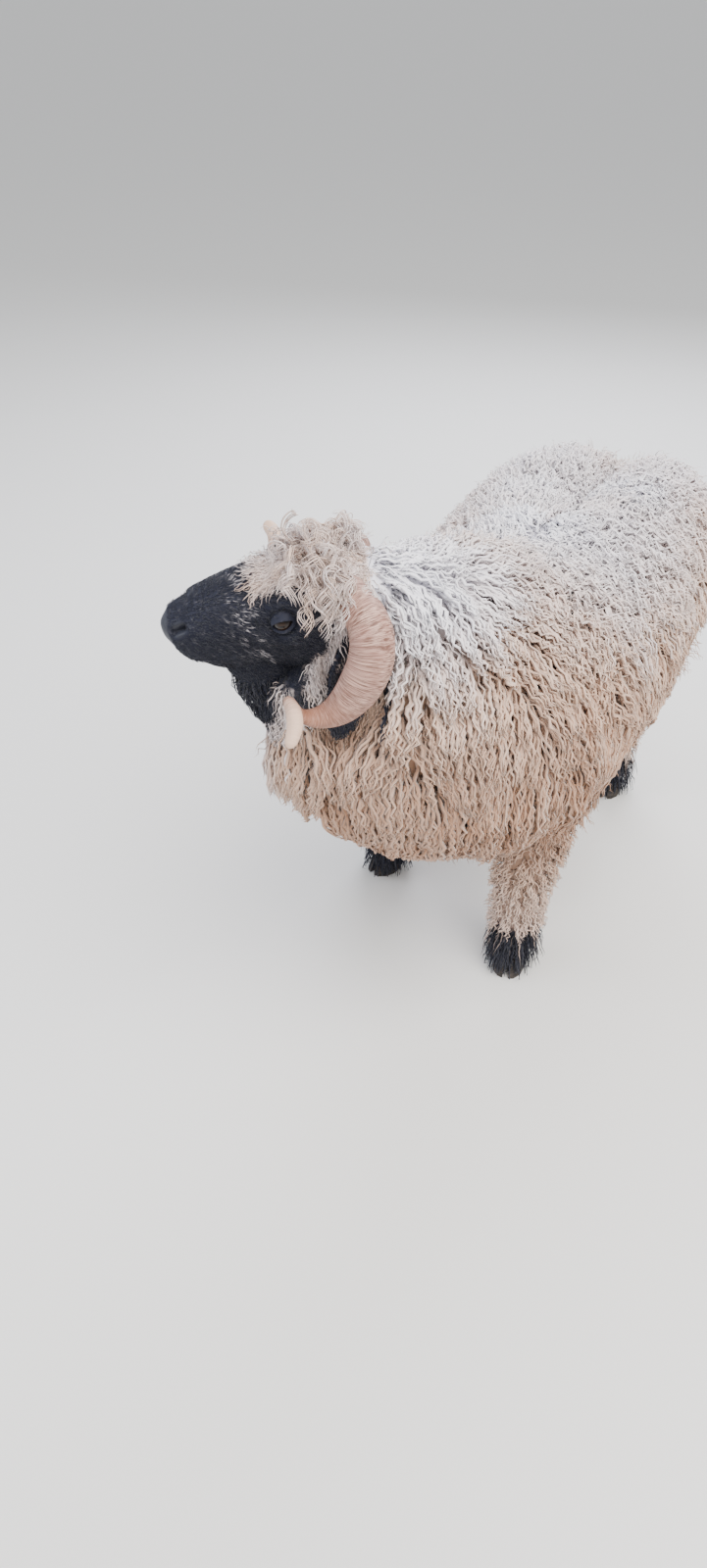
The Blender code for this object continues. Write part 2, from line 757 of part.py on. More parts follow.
LEG_PATHS = {
    "foreleg_left": [((0.105, -0.210, 0.430), 0.062), ((0.090, -0.255, 0.330), 0.060),
                     ((0.070, -0.285, 0.240), 0.056), ((0.064, -0.292, 0.160), 0.050),
                     ((0.063, -0.290, 0.110), 0.050), ((0.063, -0.288, 0.000), 0.046)],
    "foreleg_right": [((-0.125, -0.195, 0.430), 0.062), ((-0.165, -0.190, 0.330), 0.060),
                      ((-0.210, -0.170, 0.240), 0.056), ((-0.235, -0.155, 0.160), 0.050),
                      ((-0.247, -0.147, 0.110), 0.050), ((-0.252, -0.141, 0.000), 0.046)],
    "hindleg_left": [((0.115, 0.215, 0.480), 0.085), ((0.112, 0.235, 0.390), 0.080),
                     ((0.090, 0.305, 0.300), 0.062), ((0.072, 0.338, 0.225), 0.052),
                     ((0.066, 0.328, 0.150), 0.047), ((0.063, 0.314, 0.000), 0.044)],
    "hindleg_right": [((-0.125, 0.235, 0.480), 0.085), ((-0.130, 0.260, 0.390), 0.080),
                      ((-0.135, 0.335, 0.300), 0.062), ((-0.135, 0.370, 0.225), 0.052),
                      ((-0.132, 0.362, 0.150), 0.047), ((-0.130, 0.348, 0.000), 0.044)],
}


def leg(name):
    """Wool of a leg, cut level at the fetlock."""
    centres = [Vector(centre) for centre, radius in LEG_PATHS[name]]
    sizes = [Vector((radius, 0, 0)) for centre, radius in LEG_PATHS[name]]
    stations = 8
    path = spline(centres, stations)
    radii = [size.x * LEG_WOOL_RADIUS / 0.050 for size in spline(sizes, stations)]
    rings = []
    for centre, radius in zip(path, radii):
        inner = radius - 0.013
        rings.append(ring(centre, Vector((1, 0, 0)), Vector((0, 1, 0)), inner * 0.94, inner,
                          inner * 1.04, 8))
    whole = loft(name, rings)
    locks = []
    levels = (0.270, 0.180) if name.startswith("fore") else (0.395, 0.300, 0.210)
    for level, height in enumerate(levels):
        share = min(range(stations), key=lambda index: abs(path[index].z - height))
        middle = path[share] + (path[share + 1] - path[share]) * (
            (path[share].z - height) / (path[share].z - path[share + 1].z))
        below = path[min(share + 3, stations - 1)]
        slope = (below - middle) / (middle.z - below.z)
        for step in range(4):
            turn = 2 * math.pi * (step + 0.5 * (level % 2)) / 4 + draw.uniform(-0.1, 0.1)
            out = Vector((math.cos(turn), math.sin(turn), 0))
            wide = radii[share]
            path_now = [middle + out * (wide - 0.034)]
            for drop, depth in ((0.030, 0.009), (0.084, 0.006), (0.114, 0.014)):
                path_now.append(middle + slope * drop + out * (wide - depth))
            locks.append(lock("lock", path_now, [(out + Vector((0, 0, 0.8))).normalized()] + [out] * 3,
                              0.074, 0.020))
    fuse(whole, locks)
    floor_block = half_space("below_fetlock", Vector((0, 0, FETLOCK_HEIGHT + GAP / 2)), Vector((0, 0, -1)))
    return combine(whole, [floor_block], "DIFFERENCE")


def pastern(name):
    """Black fur between the wool and the hoof."""
    (x, y), turn = FEET[name]
    toe = Vector((math.sin(math.radians(turn)), -math.cos(math.radians(turn)), 0))
    side = Vector((-toe.y, toe.x, 0))
    levels = [(FETLOCK_HEIGHT - GAP / 2, -0.014, 0.034), (0.064, -0.013, 0.036),
              (0.052, -0.009, 0.035), (HOOF_HEIGHT + GAP / 2, -0.004, 0.033)]
    rings = []
    for height, back, radius in levels:
        centre = Vector((x, y, height)) + toe * back
        rings.append(ring(centre, side, toe, radius * 0.88, radius, radius, 12))
    return loft(name.replace("leg", "_pastern"), rings)


def hoof(name):
    """Two claws with a cleft between them, joined under the coronet."""
    (x, y), turn = FEET[name]
    toe = Vector((math.sin(math.radians(turn)), -math.cos(math.radians(turn)), 0))
    side = Vector((-toe.y, toe.x, 0))
    base = Vector((x, y, 0))
    levels = [(0.0, 1.00, 1.00), (0.006, 1.00, 1.00), (HOOF_HEIGHT * 0.62, 0.90, 0.94),
              (HOOF_HEIGHT - GAP / 2, 0.80, 0.88)]
    rings = []
    for height, long_share, wide_share in levels:
        shape = []
        lean = -0.16 * height
        for step in range(12):
            angle = 2 * math.pi * step / 12
            forward = math.cos(angle) * HOOF_LENGTH / 2 * long_share
            across = math.copysign(abs(math.sin(angle)) ** 0.8, math.sin(angle))
            across *= HOOF_WIDTH / 2 * wide_share
            pointed = 1.0 - 0.16 * max(0.0, math.cos(angle)) ** 3
            shape.append(base + Vector((0, 0, height)) + toe * (forward + lean) + side * across * pointed)
        rings.append(shape)
    whole = loft(name.replace("leg", "_hoof"), rings)
    wedge_front = base + toe * 0.060
    wedge = []
    for height, half in ((-0.010, 0.0042), (0.020, 0.0036), (0.033, 0.0012)):
        row = []
        for along, share in ((0.0, 1.6), (-0.120, 0.7)):
            for sign in (1, -1):
                row.append(wedge_front + toe * along + side * (half * share * sign if along == 0
                           else -half * share * sign) + Vector((0, 0, height)))
        wedge.append([row[0], row[1], row[2], row[3]])
    cleft = loft("cleft", wedge)
    return combine(whole, [cleft], "DIFFERENCE")


# Assembly, from the bones outwards: each softer piece is cut clear of the harder ones.

horns = [horn(1), horn(-1)]
eyes = [eye(1), eye(-1)]
ears = [ear(1), ear(-1)]
skull = head_body()
combine(skull, [throat(), lids(1), lids(-1)], "UNION")
keep_room(skull, *horns, *eyes, *ears)
SOFT_LIMITS = ("head", "ear_left", "ear_right")

combine(skull, [mouth_line(), lip_cleft(), nostril(1), nostril(-1)], "DIFFERENCE")
combine(skull, room("horn_left", "horn_right", "eye_left", "eye_right"), "DIFFERENCE")
for piece in ears:
    combine(piece, room("head", "horn_left", "horn_right"), "DIFFERENCE")

topknot = fuse(forelock_core(), forelock_locks())
combine(topknot, room(*SOFT_LIMITS) + [horn(1, True), horn(-1, True)], "DIFFERENCE")
keep_largest(topknot)

legs = [leg(name) for name in FEET]
rump_tail = tail()

wool = trunk_core()
combine(wool, [neck_core()] + trunk_locks() + rump_locks() + neck_locks(), "UNION")
combine(wool, room(*SOFT_LIMITS, "forelock", "tail", *FEET) + [horn(1, True), horn(-1, True)],
        "DIFFERENCE")
keep_largest(wool)

neck_wool = place("neck", wool.data.copy())
parting_point = Vector((-0.02, -0.36, 0.58))
parting_normal = Vector((-0.20, -0.93, 0.33)).normalized()
combine(neck_wool, [half_space("behind", parting_point + parting_normal * GAP / 2, -parting_normal)],
        "DIFFERENCE")
combine(wool, [half_space("ahead", parting_point - parting_normal * GAP / 2, parting_normal)], "DIFFERENCE")
wool.name = "torso"

finish(wool, BACK_WOOL)
finish(neck_wool, FLEECE)
finish(skull, BLACK_FUR)
finish(topknot, FLEECE)
finish(rump_tail, FLEECE)
for piece in horns:
    finish(piece, HORN)
for piece in eyes:
    finish(piece, EYE)
for piece in ears:
    finish(piece, BLACK_FUR)
for piece in legs:
    finish(piece, FLEECE)
for name in FEET:
    finish(pastern(name), BLACK_FUR)
    finish(hoof(name), HOOF)

# The origin is on the floor under the middle of the whole sheep.
corners = [vertex.co for piece in sheep.objects for vertex in piece.data.vertices]
middle_x = (min(corner.x for corner in corners) + max(corner.x for corner in corners)) / 2
middle_y = (min(corner.y for corner in corners) + max(corner.y for corner in corners)) / 2
floor_z = min(corner.z for corner in corners)
stand_point = bpy.data.objects.new("stand_point", None)
sheep.objects.link(stand_point)
stand_point.location = (-middle_x, -middle_y, -floor_z)
for piece in list(sheep.objects):
    if piece is not stand_point:
        piece.parent = stand_point
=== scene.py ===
import math
import bpy
import bmesh
import numpy as np
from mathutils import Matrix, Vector, kdtree, noise
from mathutils.bvhtree import BVHTree


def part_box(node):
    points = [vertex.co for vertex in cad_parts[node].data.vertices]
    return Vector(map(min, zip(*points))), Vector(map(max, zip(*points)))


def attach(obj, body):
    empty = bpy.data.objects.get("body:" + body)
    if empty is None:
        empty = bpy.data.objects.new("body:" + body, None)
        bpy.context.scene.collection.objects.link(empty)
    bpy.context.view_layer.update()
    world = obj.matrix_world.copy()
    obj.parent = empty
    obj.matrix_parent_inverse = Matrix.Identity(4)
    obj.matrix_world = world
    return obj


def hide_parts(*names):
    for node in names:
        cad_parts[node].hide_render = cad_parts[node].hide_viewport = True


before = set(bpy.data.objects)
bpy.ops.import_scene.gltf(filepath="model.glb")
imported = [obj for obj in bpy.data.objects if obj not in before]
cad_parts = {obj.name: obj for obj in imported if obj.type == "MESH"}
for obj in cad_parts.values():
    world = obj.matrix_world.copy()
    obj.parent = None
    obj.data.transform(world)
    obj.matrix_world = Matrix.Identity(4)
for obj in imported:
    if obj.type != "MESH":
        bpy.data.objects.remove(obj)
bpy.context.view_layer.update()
draw = np.random.default_rng(17)
print("frame loaded")

# The sheep faces -Y, its left side is +X. Its own frame has the origin under the middle of the trunk,
# and the head has a frame of its own: forward, left and up from the poll.
pose = {
    "poll": (-0.072, -0.578, 0.857),
    "turn": 60, "dip": -14, "tilt": 15,       # the head, in degrees
    "eye": (0.125, 0.0535, 0.014),            # left eye in the head's frame
}


def headAxes():
    turn, dip, tilt = (math.radians(pose[key]) for key in ("turn", "dip", "tilt"))
    forward = Vector((-math.sin(turn) * math.cos(dip), -math.cos(turn) * math.cos(dip), math.sin(dip)))
    upright = (Vector((0, 0, 1)) - forward.z * forward).normalized()
    level = upright.cross(forward)
    left = level * math.cos(tilt) - upright * math.sin(tilt)
    up = upright * math.cos(tilt) + level * math.sin(tilt)
    return np.array((forward, left, up))


headFrame = headAxes()
forwardWay, leftWay, upWay = headFrame
downWay = np.array((0, 0, -1.0))
eyeLow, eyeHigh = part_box("eye_left")
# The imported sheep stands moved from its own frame: the left eye says by how much
stand = np.array((eyeLow + eyeHigh) / 2) - np.array(pose["poll"]) - np.array(pose["eye"]) @ headFrame
poll = np.array(pose["poll"]) + stand


def onSheep(point):
    return np.array(point, float) + stand


def onHead(forward, left, up):
    return poll + forwardWay * forward + leftWay * left + upWay * up


def toHead(points):
    return (points - poll) @ headFrame.T


def besideHead(points):
    # Forward, aside to either hand, and up from the poll
    forward, left, up = toHead(points).T
    return forward, np.abs(left), up


def unit(vectors):
    return vectors / np.maximum(np.linalg.norm(vectors, axis=-1, keepdims=True), 1e-9)


def smoothStep(low, high, value):
    part = np.clip((value - low) / (high - low), 0, 1)
    return part * part * (3 - 2 * part)


def smoothPath(points, count):
    # Catmull-Rom through the rows of points, any number of columns
    points = np.array(points, float)
    last = len(points) - 1
    where = np.linspace(0, last, count)
    index = np.minimum(where.astype(int), last - 1)
    part = (where - index)[:, None]
    before = points[np.maximum(index - 1, 0)]
    here = points[index]
    after = points[index + 1]
    beyond = points[np.minimum(index + 2, last)]
    return 0.5 * (2 * here + (after - before) * part
                  + (2 * before - 5 * here + 4 * after - beyond) * part ** 2
                  + (3 * here - before - 3 * after + beyond) * part ** 3)


def roughness(points, size, seed=0.0):
    # Soft noise between -1 and 1, one value a point
    return np.array([noise.noise(Vector(point / size) + Vector((seed, seed, seed))) for point in points])


def deselectAll():
    if bpy.context.object and bpy.context.object.mode != "OBJECT":
        bpy.ops.object.mode_set(mode="OBJECT")
    bpy.ops.object.select_all(action="DESELECT")


def pickOnly(piece):
    deselectAll()
    piece.select_set(True)
    bpy.context.view_layer.objects.active = piece


def applyModifier(piece, kind, **settings):
    step = piece.modifiers.new(kind.lower(), kind)
    for key, value in settings.items():
        setattr(step, key, value)
    pickOnly(piece)
    bpy.ops.object.modifier_apply(modifier=step.name)


def vertexValues(piece, name):
    flat = np.zeros(len(piece.data.vertices) * 3, np.float32)
    piece.data.vertices.foreach_get(name, flat)
    return flat.reshape(-1, 3).astype(float)


def meshPoints(piece):
    return vertexValues(piece, "co")


def meshNormals(piece):
    return vertexValues(piece, "normal")


def setPoints(piece, points):
    piece.data.vertices.foreach_set("co", points.astype(np.float32).ravel())
    piece.data.update()


def pointTree(points):
    tree = kdtree.KDTree(len(points))
    for index, point in enumerate(points):
        tree.insert(Vector(point), index)
    tree.balance()
    return tree


def extrudeRings(name, rings):
    # A circle extruded ring by ring, its points set at each step
    deselectAll()
    bpy.ops.mesh.primitive_circle_add(vertices=len(rings[0]), fill_type="NGON")
    piece = bpy.context.object
    piece.name = name
    bpy.ops.object.mode_set(mode="EDIT")
    shape = bmesh.from_edit_mesh(piece.data)
    shape.verts.ensure_lookup_table()
    row = list(range(len(rings[0])))
    for index, point in zip(row, rings[0]):
        shape.verts[index].co = point
    for ring in rings[1:]:
        bpy.ops.mesh.extrude_region()
        shape = bmesh.from_edit_mesh(piece.data)
        shape.verts.ensure_lookup_table()
        following = []
        for index in row:
            for edge in shape.verts[index].link_edges:
                other = edge.other_vert(shape.verts[index])
                if other.select:
                    following.append(other.index)
        row = following
        for index, point in zip(row, ring):
            shape.verts[index].co = point
    bmesh.update_edit_mesh(piece.data)
    bpy.ops.mesh.select_all(action="SELECT")
    bpy.ops.mesh.normals_make_consistent(inside=False)
    bpy.ops.object.mode_set(mode="OBJECT")
    return piece


def joinPieces(pieces, name):
    deselectAll()
    for piece in pieces:
        piece.select_set(True)
    bpy.context.view_layer.objects.active = pieces[0]
    bpy.ops.object.join()
    pieces[0].name = name
    return pieces[0]


# Shapes of the body under the fleece

def circleAngles(count):
    return np.arange(count) * 2 * np.pi / count


def oval(centre, side, up, half, rise, drop, squareness=2.0, taper=0.0, dip=0.0, dipWidth=0.05, inset=0.0,
         count=32):
    # A ring that narrows towards its foot by the taper, with a dip in the middle of its top
    angle = circleAngles(count)
    across = np.sign(np.cos(angle)) * np.abs(np.cos(angle)) ** (2 / squareness)
    height = np.sign(np.sin(angle)) * np.abs(np.sin(angle)) ** (2 / squareness)
    wide = (half - inset) * across * (1 - taper * np.maximum(0, -height))
    tall = np.where(height > 0, height * (rise - inset), height * (drop - inset))
    tall -= np.where(height > 0, dip * np.exp(-(wide / dipWidth) ** 2), 0)
    return centre + np.outer(wide, side) + np.outer(tall, up)


trunkShape = {
    "inset": 0.036,                           # from the tips of the fleece to the skin
    "parting": 0.040,                         # depth of the parting along the back
    "partingFore": (-0.14, 0.12),             # where it starts along Y, and the length over which it opens
    "partingRear": (0.37, 0.06),              # where it ends, and the length over which it closes
    "shallowest": 0.2,                        # share of its depth left at the tail
    "widest": 0.46, "squareness": 2.2, "taper": 0.24,
    "rings": [                                # place along Y, top, bottom, half width
        (-0.455, 0.60, 0.42, 0.080), (-0.44, 0.67, 0.36, 0.150), (-0.36, 0.76, 0.32, 0.200),
        (-0.25, 0.79, 0.328, 0.224), (-0.12, 0.80, 0.368, 0.240), (0.00, 0.80, 0.408, 0.242),
        (0.12, 0.80, 0.428, 0.245), (0.22, 0.79, 0.428, 0.238), (0.30, 0.77, 0.44, 0.200),
        (0.35, 0.72, 0.48, 0.140), (0.365, 0.68, 0.51, 0.085),
    ],
}


def trunkSkin():
    shape = trunkShape
    start, opening = shape["partingFore"]
    end, closing = shape["partingRear"]
    rings = []
    for y, top, bottom, half in smoothPath(shape["rings"], 40):
        middle = bottom + shape["widest"] * (top - bottom)
        share = min(1, max(0, (y - start) / opening)) * min(1, max(shape["shallowest"], (end - y) / closing))
        rings.append(oval(onSheep((0, y, middle)), np.array((1, 0, 0)), np.array((0, 0, 1)), half,
                          top - middle, middle - bottom, shape["squareness"], shape["taper"],
                          shape["parting"] * share, inset=shape["inset"], count=48))
    return extrudeRings("trunkSkin", rings)


neckShape = {
    "squareness": 2.1, "taper": 0.10,
    "rings": [                                # crest, throat, half width
        ((0.000, -0.180, 0.790), (0.000, -0.220, 0.330), 0.222),
        ((-0.006, -0.300, 0.815), (-0.016, -0.360, 0.310), 0.214),
        ((-0.018, -0.390, 0.845), (-0.060, -0.465, 0.345), 0.190),
        ((-0.030, -0.460, 0.865), (-0.125, -0.560, 0.420), 0.162),
        ((-0.035, -0.520, 0.880), (-0.185, -0.612, 0.505), 0.130),
        ((-0.050, -0.565, 0.882), (-0.228, -0.632, 0.592), 0.108),
        ((-0.100, -0.595, 0.830), (-0.238, -0.640, 0.655), 0.088),
    ],
}


def neckSkin():
    rows = smoothPath([(*crest, *under, half) for crest, under, half in neckShape["rings"]], 26)
    rings = []
    for index, row in enumerate(rows):
        crest, under, half = row[:3], row[3:6], row[6]
        ahead, behind = rows[min(index + 1, len(rows) - 1)], rows[max(index - 1, 0)]
        way = ahead[:3] + ahead[3:6] - behind[:3] - behind[3:6]
        up = unit(crest - under)
        side = -unit(np.cross(way, up))
        tall = np.linalg.norm(crest - under) / 2
        rings.append(oval(onSheep((crest + under) / 2), side, up, half, tall, tall, neckShape["squareness"],
                          neckShape["taper"], inset=trunkShape["inset"], count=40))
    return extrudeRings("neckSkin", rings)


def clearEars(body, ears):
    # Hollows the neck behind each ear, so that the ear hangs free of it
    points = meshPoints(body)
    hollow = earShape["hollow"]
    for side, ear in zip((1, -1), ears):
        tree = pointTree(ear)
        near = np.linalg.norm(points - ear.mean(axis=0), axis=1) < hollow["reach"]
        for index in np.nonzero(near)[0]:
            flat = points[index] - np.array(tree.find(Vector(points[index]))[0])
            outward = flat.dot(leftWay) * side
            aside = np.linalg.norm(flat - leftWay * flat.dot(leftWay))
            push = (outward + hollow["depth"]) * float(smoothStep(*hollow["edge"], aside))
            if push > 0 and outward < hollow["outermost"]:
                points[index] -= leftWay * side * push
    setPoints(body, points)


legShape = {
    "inset": 0.015,
    "narrow": 0.94, "pasternNarrow": 0.9,     # width across as a share of the depth
    "paths": {                                # x, y, z and radius down each leg
        "foreleg_left": [(0.105, -0.210, 0.430, 0.062), (0.090, -0.255, 0.330, 0.060),
                         (0.070, -0.285, 0.240, 0.056), (0.064, -0.292, 0.160, 0.050),
                         (0.063, -0.290, 0.110, 0.050), (0.063, -0.288, 0.078, 0.048)],
        "foreleg_right": [(-0.125, -0.195, 0.430, 0.062), (-0.165, -0.190, 0.330, 0.060),
                          (-0.210, -0.170, 0.240, 0.056), (-0.235, -0.155, 0.160, 0.050),
                          (-0.247, -0.147, 0.110, 0.050), (-0.252, -0.141, 0.078, 0.048)],
        "hindleg_left": [(0.115, 0.215, 0.480, 0.085), (0.112, 0.235, 0.390, 0.080),
                         (0.090, 0.305, 0.300, 0.062), (0.072, 0.338, 0.225, 0.052),
                         (0.066, 0.328, 0.150, 0.047), (0.063, 0.314, 0.078, 0.045)],
        "hindleg_right": [(-0.125, 0.235, 0.480, 0.085), (-0.130, 0.260, 0.390, 0.080),
                          (-0.135, 0.335, 0.300, 0.062), (-0.135, 0.370, 0.225, 0.052),
                          (-0.132, 0.362, 0.150, 0.047), (-0.130, 0.348, 0.078, 0.045)],
    },
    "feet": {                                 # where each hoof stands and how far its toe turns out
        "foreleg_left": (0.063, -0.304, 12), "foreleg_right": (-0.255, -0.156, -22),
        "hindleg_left": (0.063, 0.296, 10), "hindleg_right": (-0.130, 0.330, -10),
    },
    "pastern": [(0.070, -0.014, 0.030), (0.058, -0.011, 0.031), (0.046, -0.006, 0.030),
                (0.034, -0.002, 0.026)],      # height, set-back and radius
}


def legSkin(name):
    sides = 24
    rings = []
    acrossX, acrossY = np.array((1.0, 0, 0)), np.array((0, 1.0, 0))
    for x, y, z, radius in smoothPath(legShape["paths"][name], 26):
        inner = radius - legShape["inset"]
        rings.append(oval(onSheep((x, y, z)), acrossX, acrossY, inner * legShape["narrow"], inner, inner,
                          count=sides))
    x, y, outTurn = legShape["feet"][name]
    toe = np.array((math.sin(math.radians(outTurn)), -math.cos(math.radians(outTurn)), 0))
    angle = circleAngles(sides)
    for height, back, radius in legShape["pastern"]:
        centre = onSheep((x, y, 0)) + toe * back + np.array((0, 0, height))
        rings.append(centre + np.outer(np.cos(angle) * radius * legShape["pasternNarrow"], acrossX)
                     + np.outer(np.sin(angle) * radius, acrossY))
    return extrudeRings(name + "Skin", rings)


tailShape = {
    "inset": 0.013,
    "path": [(0, 0.330, 0.660, 0.030), (0, 0.385, 0.630, 0.036), (0, 0.415, 0.560, 0.040),
             (0, 0.425, 0.470, 0.038), (0.003, 0.422, 0.380, 0.030), (0.004, 0.415, 0.318, 0.022)],
}


def tubeRings(path, sideRadii, otherRadii, count, start):
    # Rings square to a path, carried along without twist
    rings = []
    side = np.array(start, float)
    for index, centre in enumerate(path):
        tangent = unit(path[min(index + 1, len(path) - 1)] - path[max(index - 1, 0)])
        side = unit(side - tangent * side.dot(tangent))
        rings.append(oval(centre, side, np.cross(tangent, side), sideRadii[index], otherRadii[index],
                          otherRadii[index], count=count))
    return rings


def tailSkin():
    rows = smoothPath(tailShape["path"], 18)
    path = [onSheep(row[:3]) for row in rows]
    radii = rows[:, 3] - tailShape["inset"]
    return extrudeRings("tailSkin", tubeRings(path, radii, radii, 16, (1, 0, 0)))


headShape = {
    "fur": 0.0015,                            # the skin lies this far inside the fur
    "squareness": 2.35, "taper": 0.26,
    "rings": [                                # forward, half width, rise, drop
        (0.2815, 0.010, 0.014, 0.002), (0.2765, 0.021, 0.018, 0.014), (0.264, 0.035, 0.025, 0.040),
        (0.242, 0.046, 0.035, 0.070), (0.212, 0.052, 0.043, 0.086), (0.180, 0.053, 0.049, 0.089),
        (0.150, 0.057, 0.053, 0.100), (0.120, 0.066, 0.056, 0.116), (0.090, 0.070, 0.056, 0.126),
        (0.060, 0.069, 0.050, 0.126), (0.030, 0.062, 0.035, 0.115), (0.000, 0.048, 0.012, 0.090),
        (-0.010, 0.030, -0.006, 0.060),
    ],
    "throatFur": 0.004, "throatBack": 0.030, "throatDeeper": 0.008,
    "throat": [                               # forward, up, half width, depth
        (0.205, -0.060, 0.036, 0.048), (0.205, -0.080, 0.036, 0.048), (0.198, -0.110, 0.034, 0.048),
        (0.192, -0.150, 0.031, 0.048), (0.187, -0.190, 0.027, 0.044), (0.182, -0.218, 0.019, 0.034),
    ],
}


def headSkin():
    rings = []
    for forward, half, rise, drop in smoothPath(headShape["rings"], 54):
        rings.append(oval(onHead(forward, 0, 0), leftWay, upWay, half, rise, drop, headShape["squareness"],
                          headShape["taper"], inset=headShape["fur"], count=48))
    return extrudeRings("headSkin", rings)


def throatSkin():
    rings = []
    for forward, up, half, deep in smoothPath(headShape["throat"], 16):
        rings.append(oval(onHead(forward - headShape["throatBack"], 0, up), leftWay, forwardWay, half,
                          deep + headShape["throatDeeper"], deep, inset=headShape["throatFur"], count=24))
    return extrudeRings("throatSkin", rings)


earShape = {
    "root": (0.045, 0.058, -0.036), "tip": (0.108, 0.088, -0.182),
    "across": (0.92, 0.10, 0.36),
    "length": 0.158, "width": 0.058, "thick": 0.0062,
    "tipFrom": 0.86, "tipRound": 0.0205,      # share of the length where the tip starts to round off
    "tipCup": 0.003, "rootCup": 0.014,        # depth of the bowl, and what is added towards the root
    "bow": 0.006,
    # How far round the ear the neck is hollowed, and how deep
    "hollow": {"edge": (0.050, 0.016), "depth": 0.024, "reach": 0.16, "outermost": 0.09},
}


def earSkin(side):
    root = np.array(earShape["root"])
    along = unit(np.array(earShape["tip"]) - root)
    across = np.array(earShape["across"])
    across = unit(across - along * across.dot(along))
    facing = np.cross(across, along)
    facing = facing * np.sign(facing[1])
    angle = circleAngles(24)
    place = np.cos(angle)
    rings = []
    for share in np.linspace(0, 1, 30):
        half = earShape["width"] / 2 * math.sin(math.pi * (0.14 + 0.80 * share)) ** 0.7
        half *= math.sqrt(max(0.02, 1 - max(0, share - earShape["tipFrom"]) ** 2 / earShape["tipRound"]))
        cup = earShape["rootCup"] * (1 - share) + earShape["tipCup"]
        leaf = (cup * (place ** 2 - 0.5) + earShape["bow"] * math.sin(math.pi * share)
                + np.sin(angle) * earShape["thick"] / 2)
        local = (root + along * (earShape["length"] * share) + np.outer(half * place, across)
                 + np.outer(leaf, facing))
        rings.append(np.array([onHead(f, side * l, u) for f, l, u in local]))
    return extrudeRings("earSkin", rings)


def hump(local, centre, reach):
    return np.exp(-(((local - np.array(centre)) / np.array(reach)) ** 2).sum(axis=1))


faceForms = [                                 # centre, reach and height of each swelling or hollow
    ((0.252, 0.038, -0.018), (0.020, 0.022, 0.016), 0.0040),       # upper lip
    ((0.205, 0.052, 0.004), (0.024, 0.030, 0.034), -0.0040),       # behind the lip
    ((0.085, 0.066, -0.055), (0.034, 0.030, 0.040), 0.0045),       # cheek muscle
    ((0.154, 0.054, 0.012), (0.016, 0.024, 0.010), -0.0045),       # tear hollow
    ((0.116, 0.060, 0.040), (0.020, 0.022, 0.010), 0.0060),        # brow
    ((0.128, 0.064, -0.014), (0.026, 0.022, 0.008), 0.0035),       # ridge under the eye
    ((0.195, 0.030, 0.046), (0.050, 0.010, 0.012), 0.0020),        # edge of the nasal bone
    ((0.268, 0.018, 0.026), (0.010, 0.012, 0.009), 0.0030),        # wing of the nostril
    ((0.246, 0.020, 0.036), (0.010, 0.016, 0.010), -0.0030),       # hollow behind the wing
    ((0.245, 0.022, -0.078), (0.020, 0.020, 0.014), 0.0030),       # chin
    ((0.160, 0.048, -0.070), (0.040, 0.020, 0.020), -0.0030),      # along the lower jaw
    ((0.100, 0.050, 0.062), (0.030, 0.020, 0.015), 0.0040),        # forehead beside the poll
]
mouthForm = {
    "corner": 0.208, "front": 0.281, "height": -0.036, "fall": 0.10, "reach": 0.0026, "depth": 0.0050,
    "cornerSoft": 0.006, "lowerSetBack": 0.0030, "upperSwell": 0.0016,
    "cleft": 0.0034, "cleftWidth": 0.0022,    # of the upper lip
}
nostrilForm = {"centre": (0.256, 0.0290, 0.018), "slant": (-0.72, 0.35, 0.55), "reach": (0.0120, 0.0040),
               "bend": 0.0022, "depth": 0.0105}
bridgeFold = {"centre": (0.222, 0.020, 0.040), "reach": (0.022, 0.03, 0.012), "height": 0.0006,
              "waves": (900, 260)}            # radians a metre, forward and up
eyeForm = {
    "radius": 0.0135, "half": 0.0135, "upper": 0.0072, "lower": 0.0062, "lid": 0.0026, "fade": 0.0260,
    "facing": (0.18, 0.10),                   # how far the eye looks forward and up
    "slope": 0.16, "rim": 0.0010, "rimWidth": 0.0014, "creaseAbove": 0.0052, "creaseWidth": 0.0012,
    "opening": -0.0035,                       # the skin inside the lids lies this far within the ball
}
skull = {"lowest": -0.125, "widest": 0.082, "middle": 0.13, "reach": 0.16}     # where the face forms act


def eyeWay(side):
    forward, up = eyeForm["facing"]
    return unit(leftWay * side + forwardWay * forward + upWay * up)


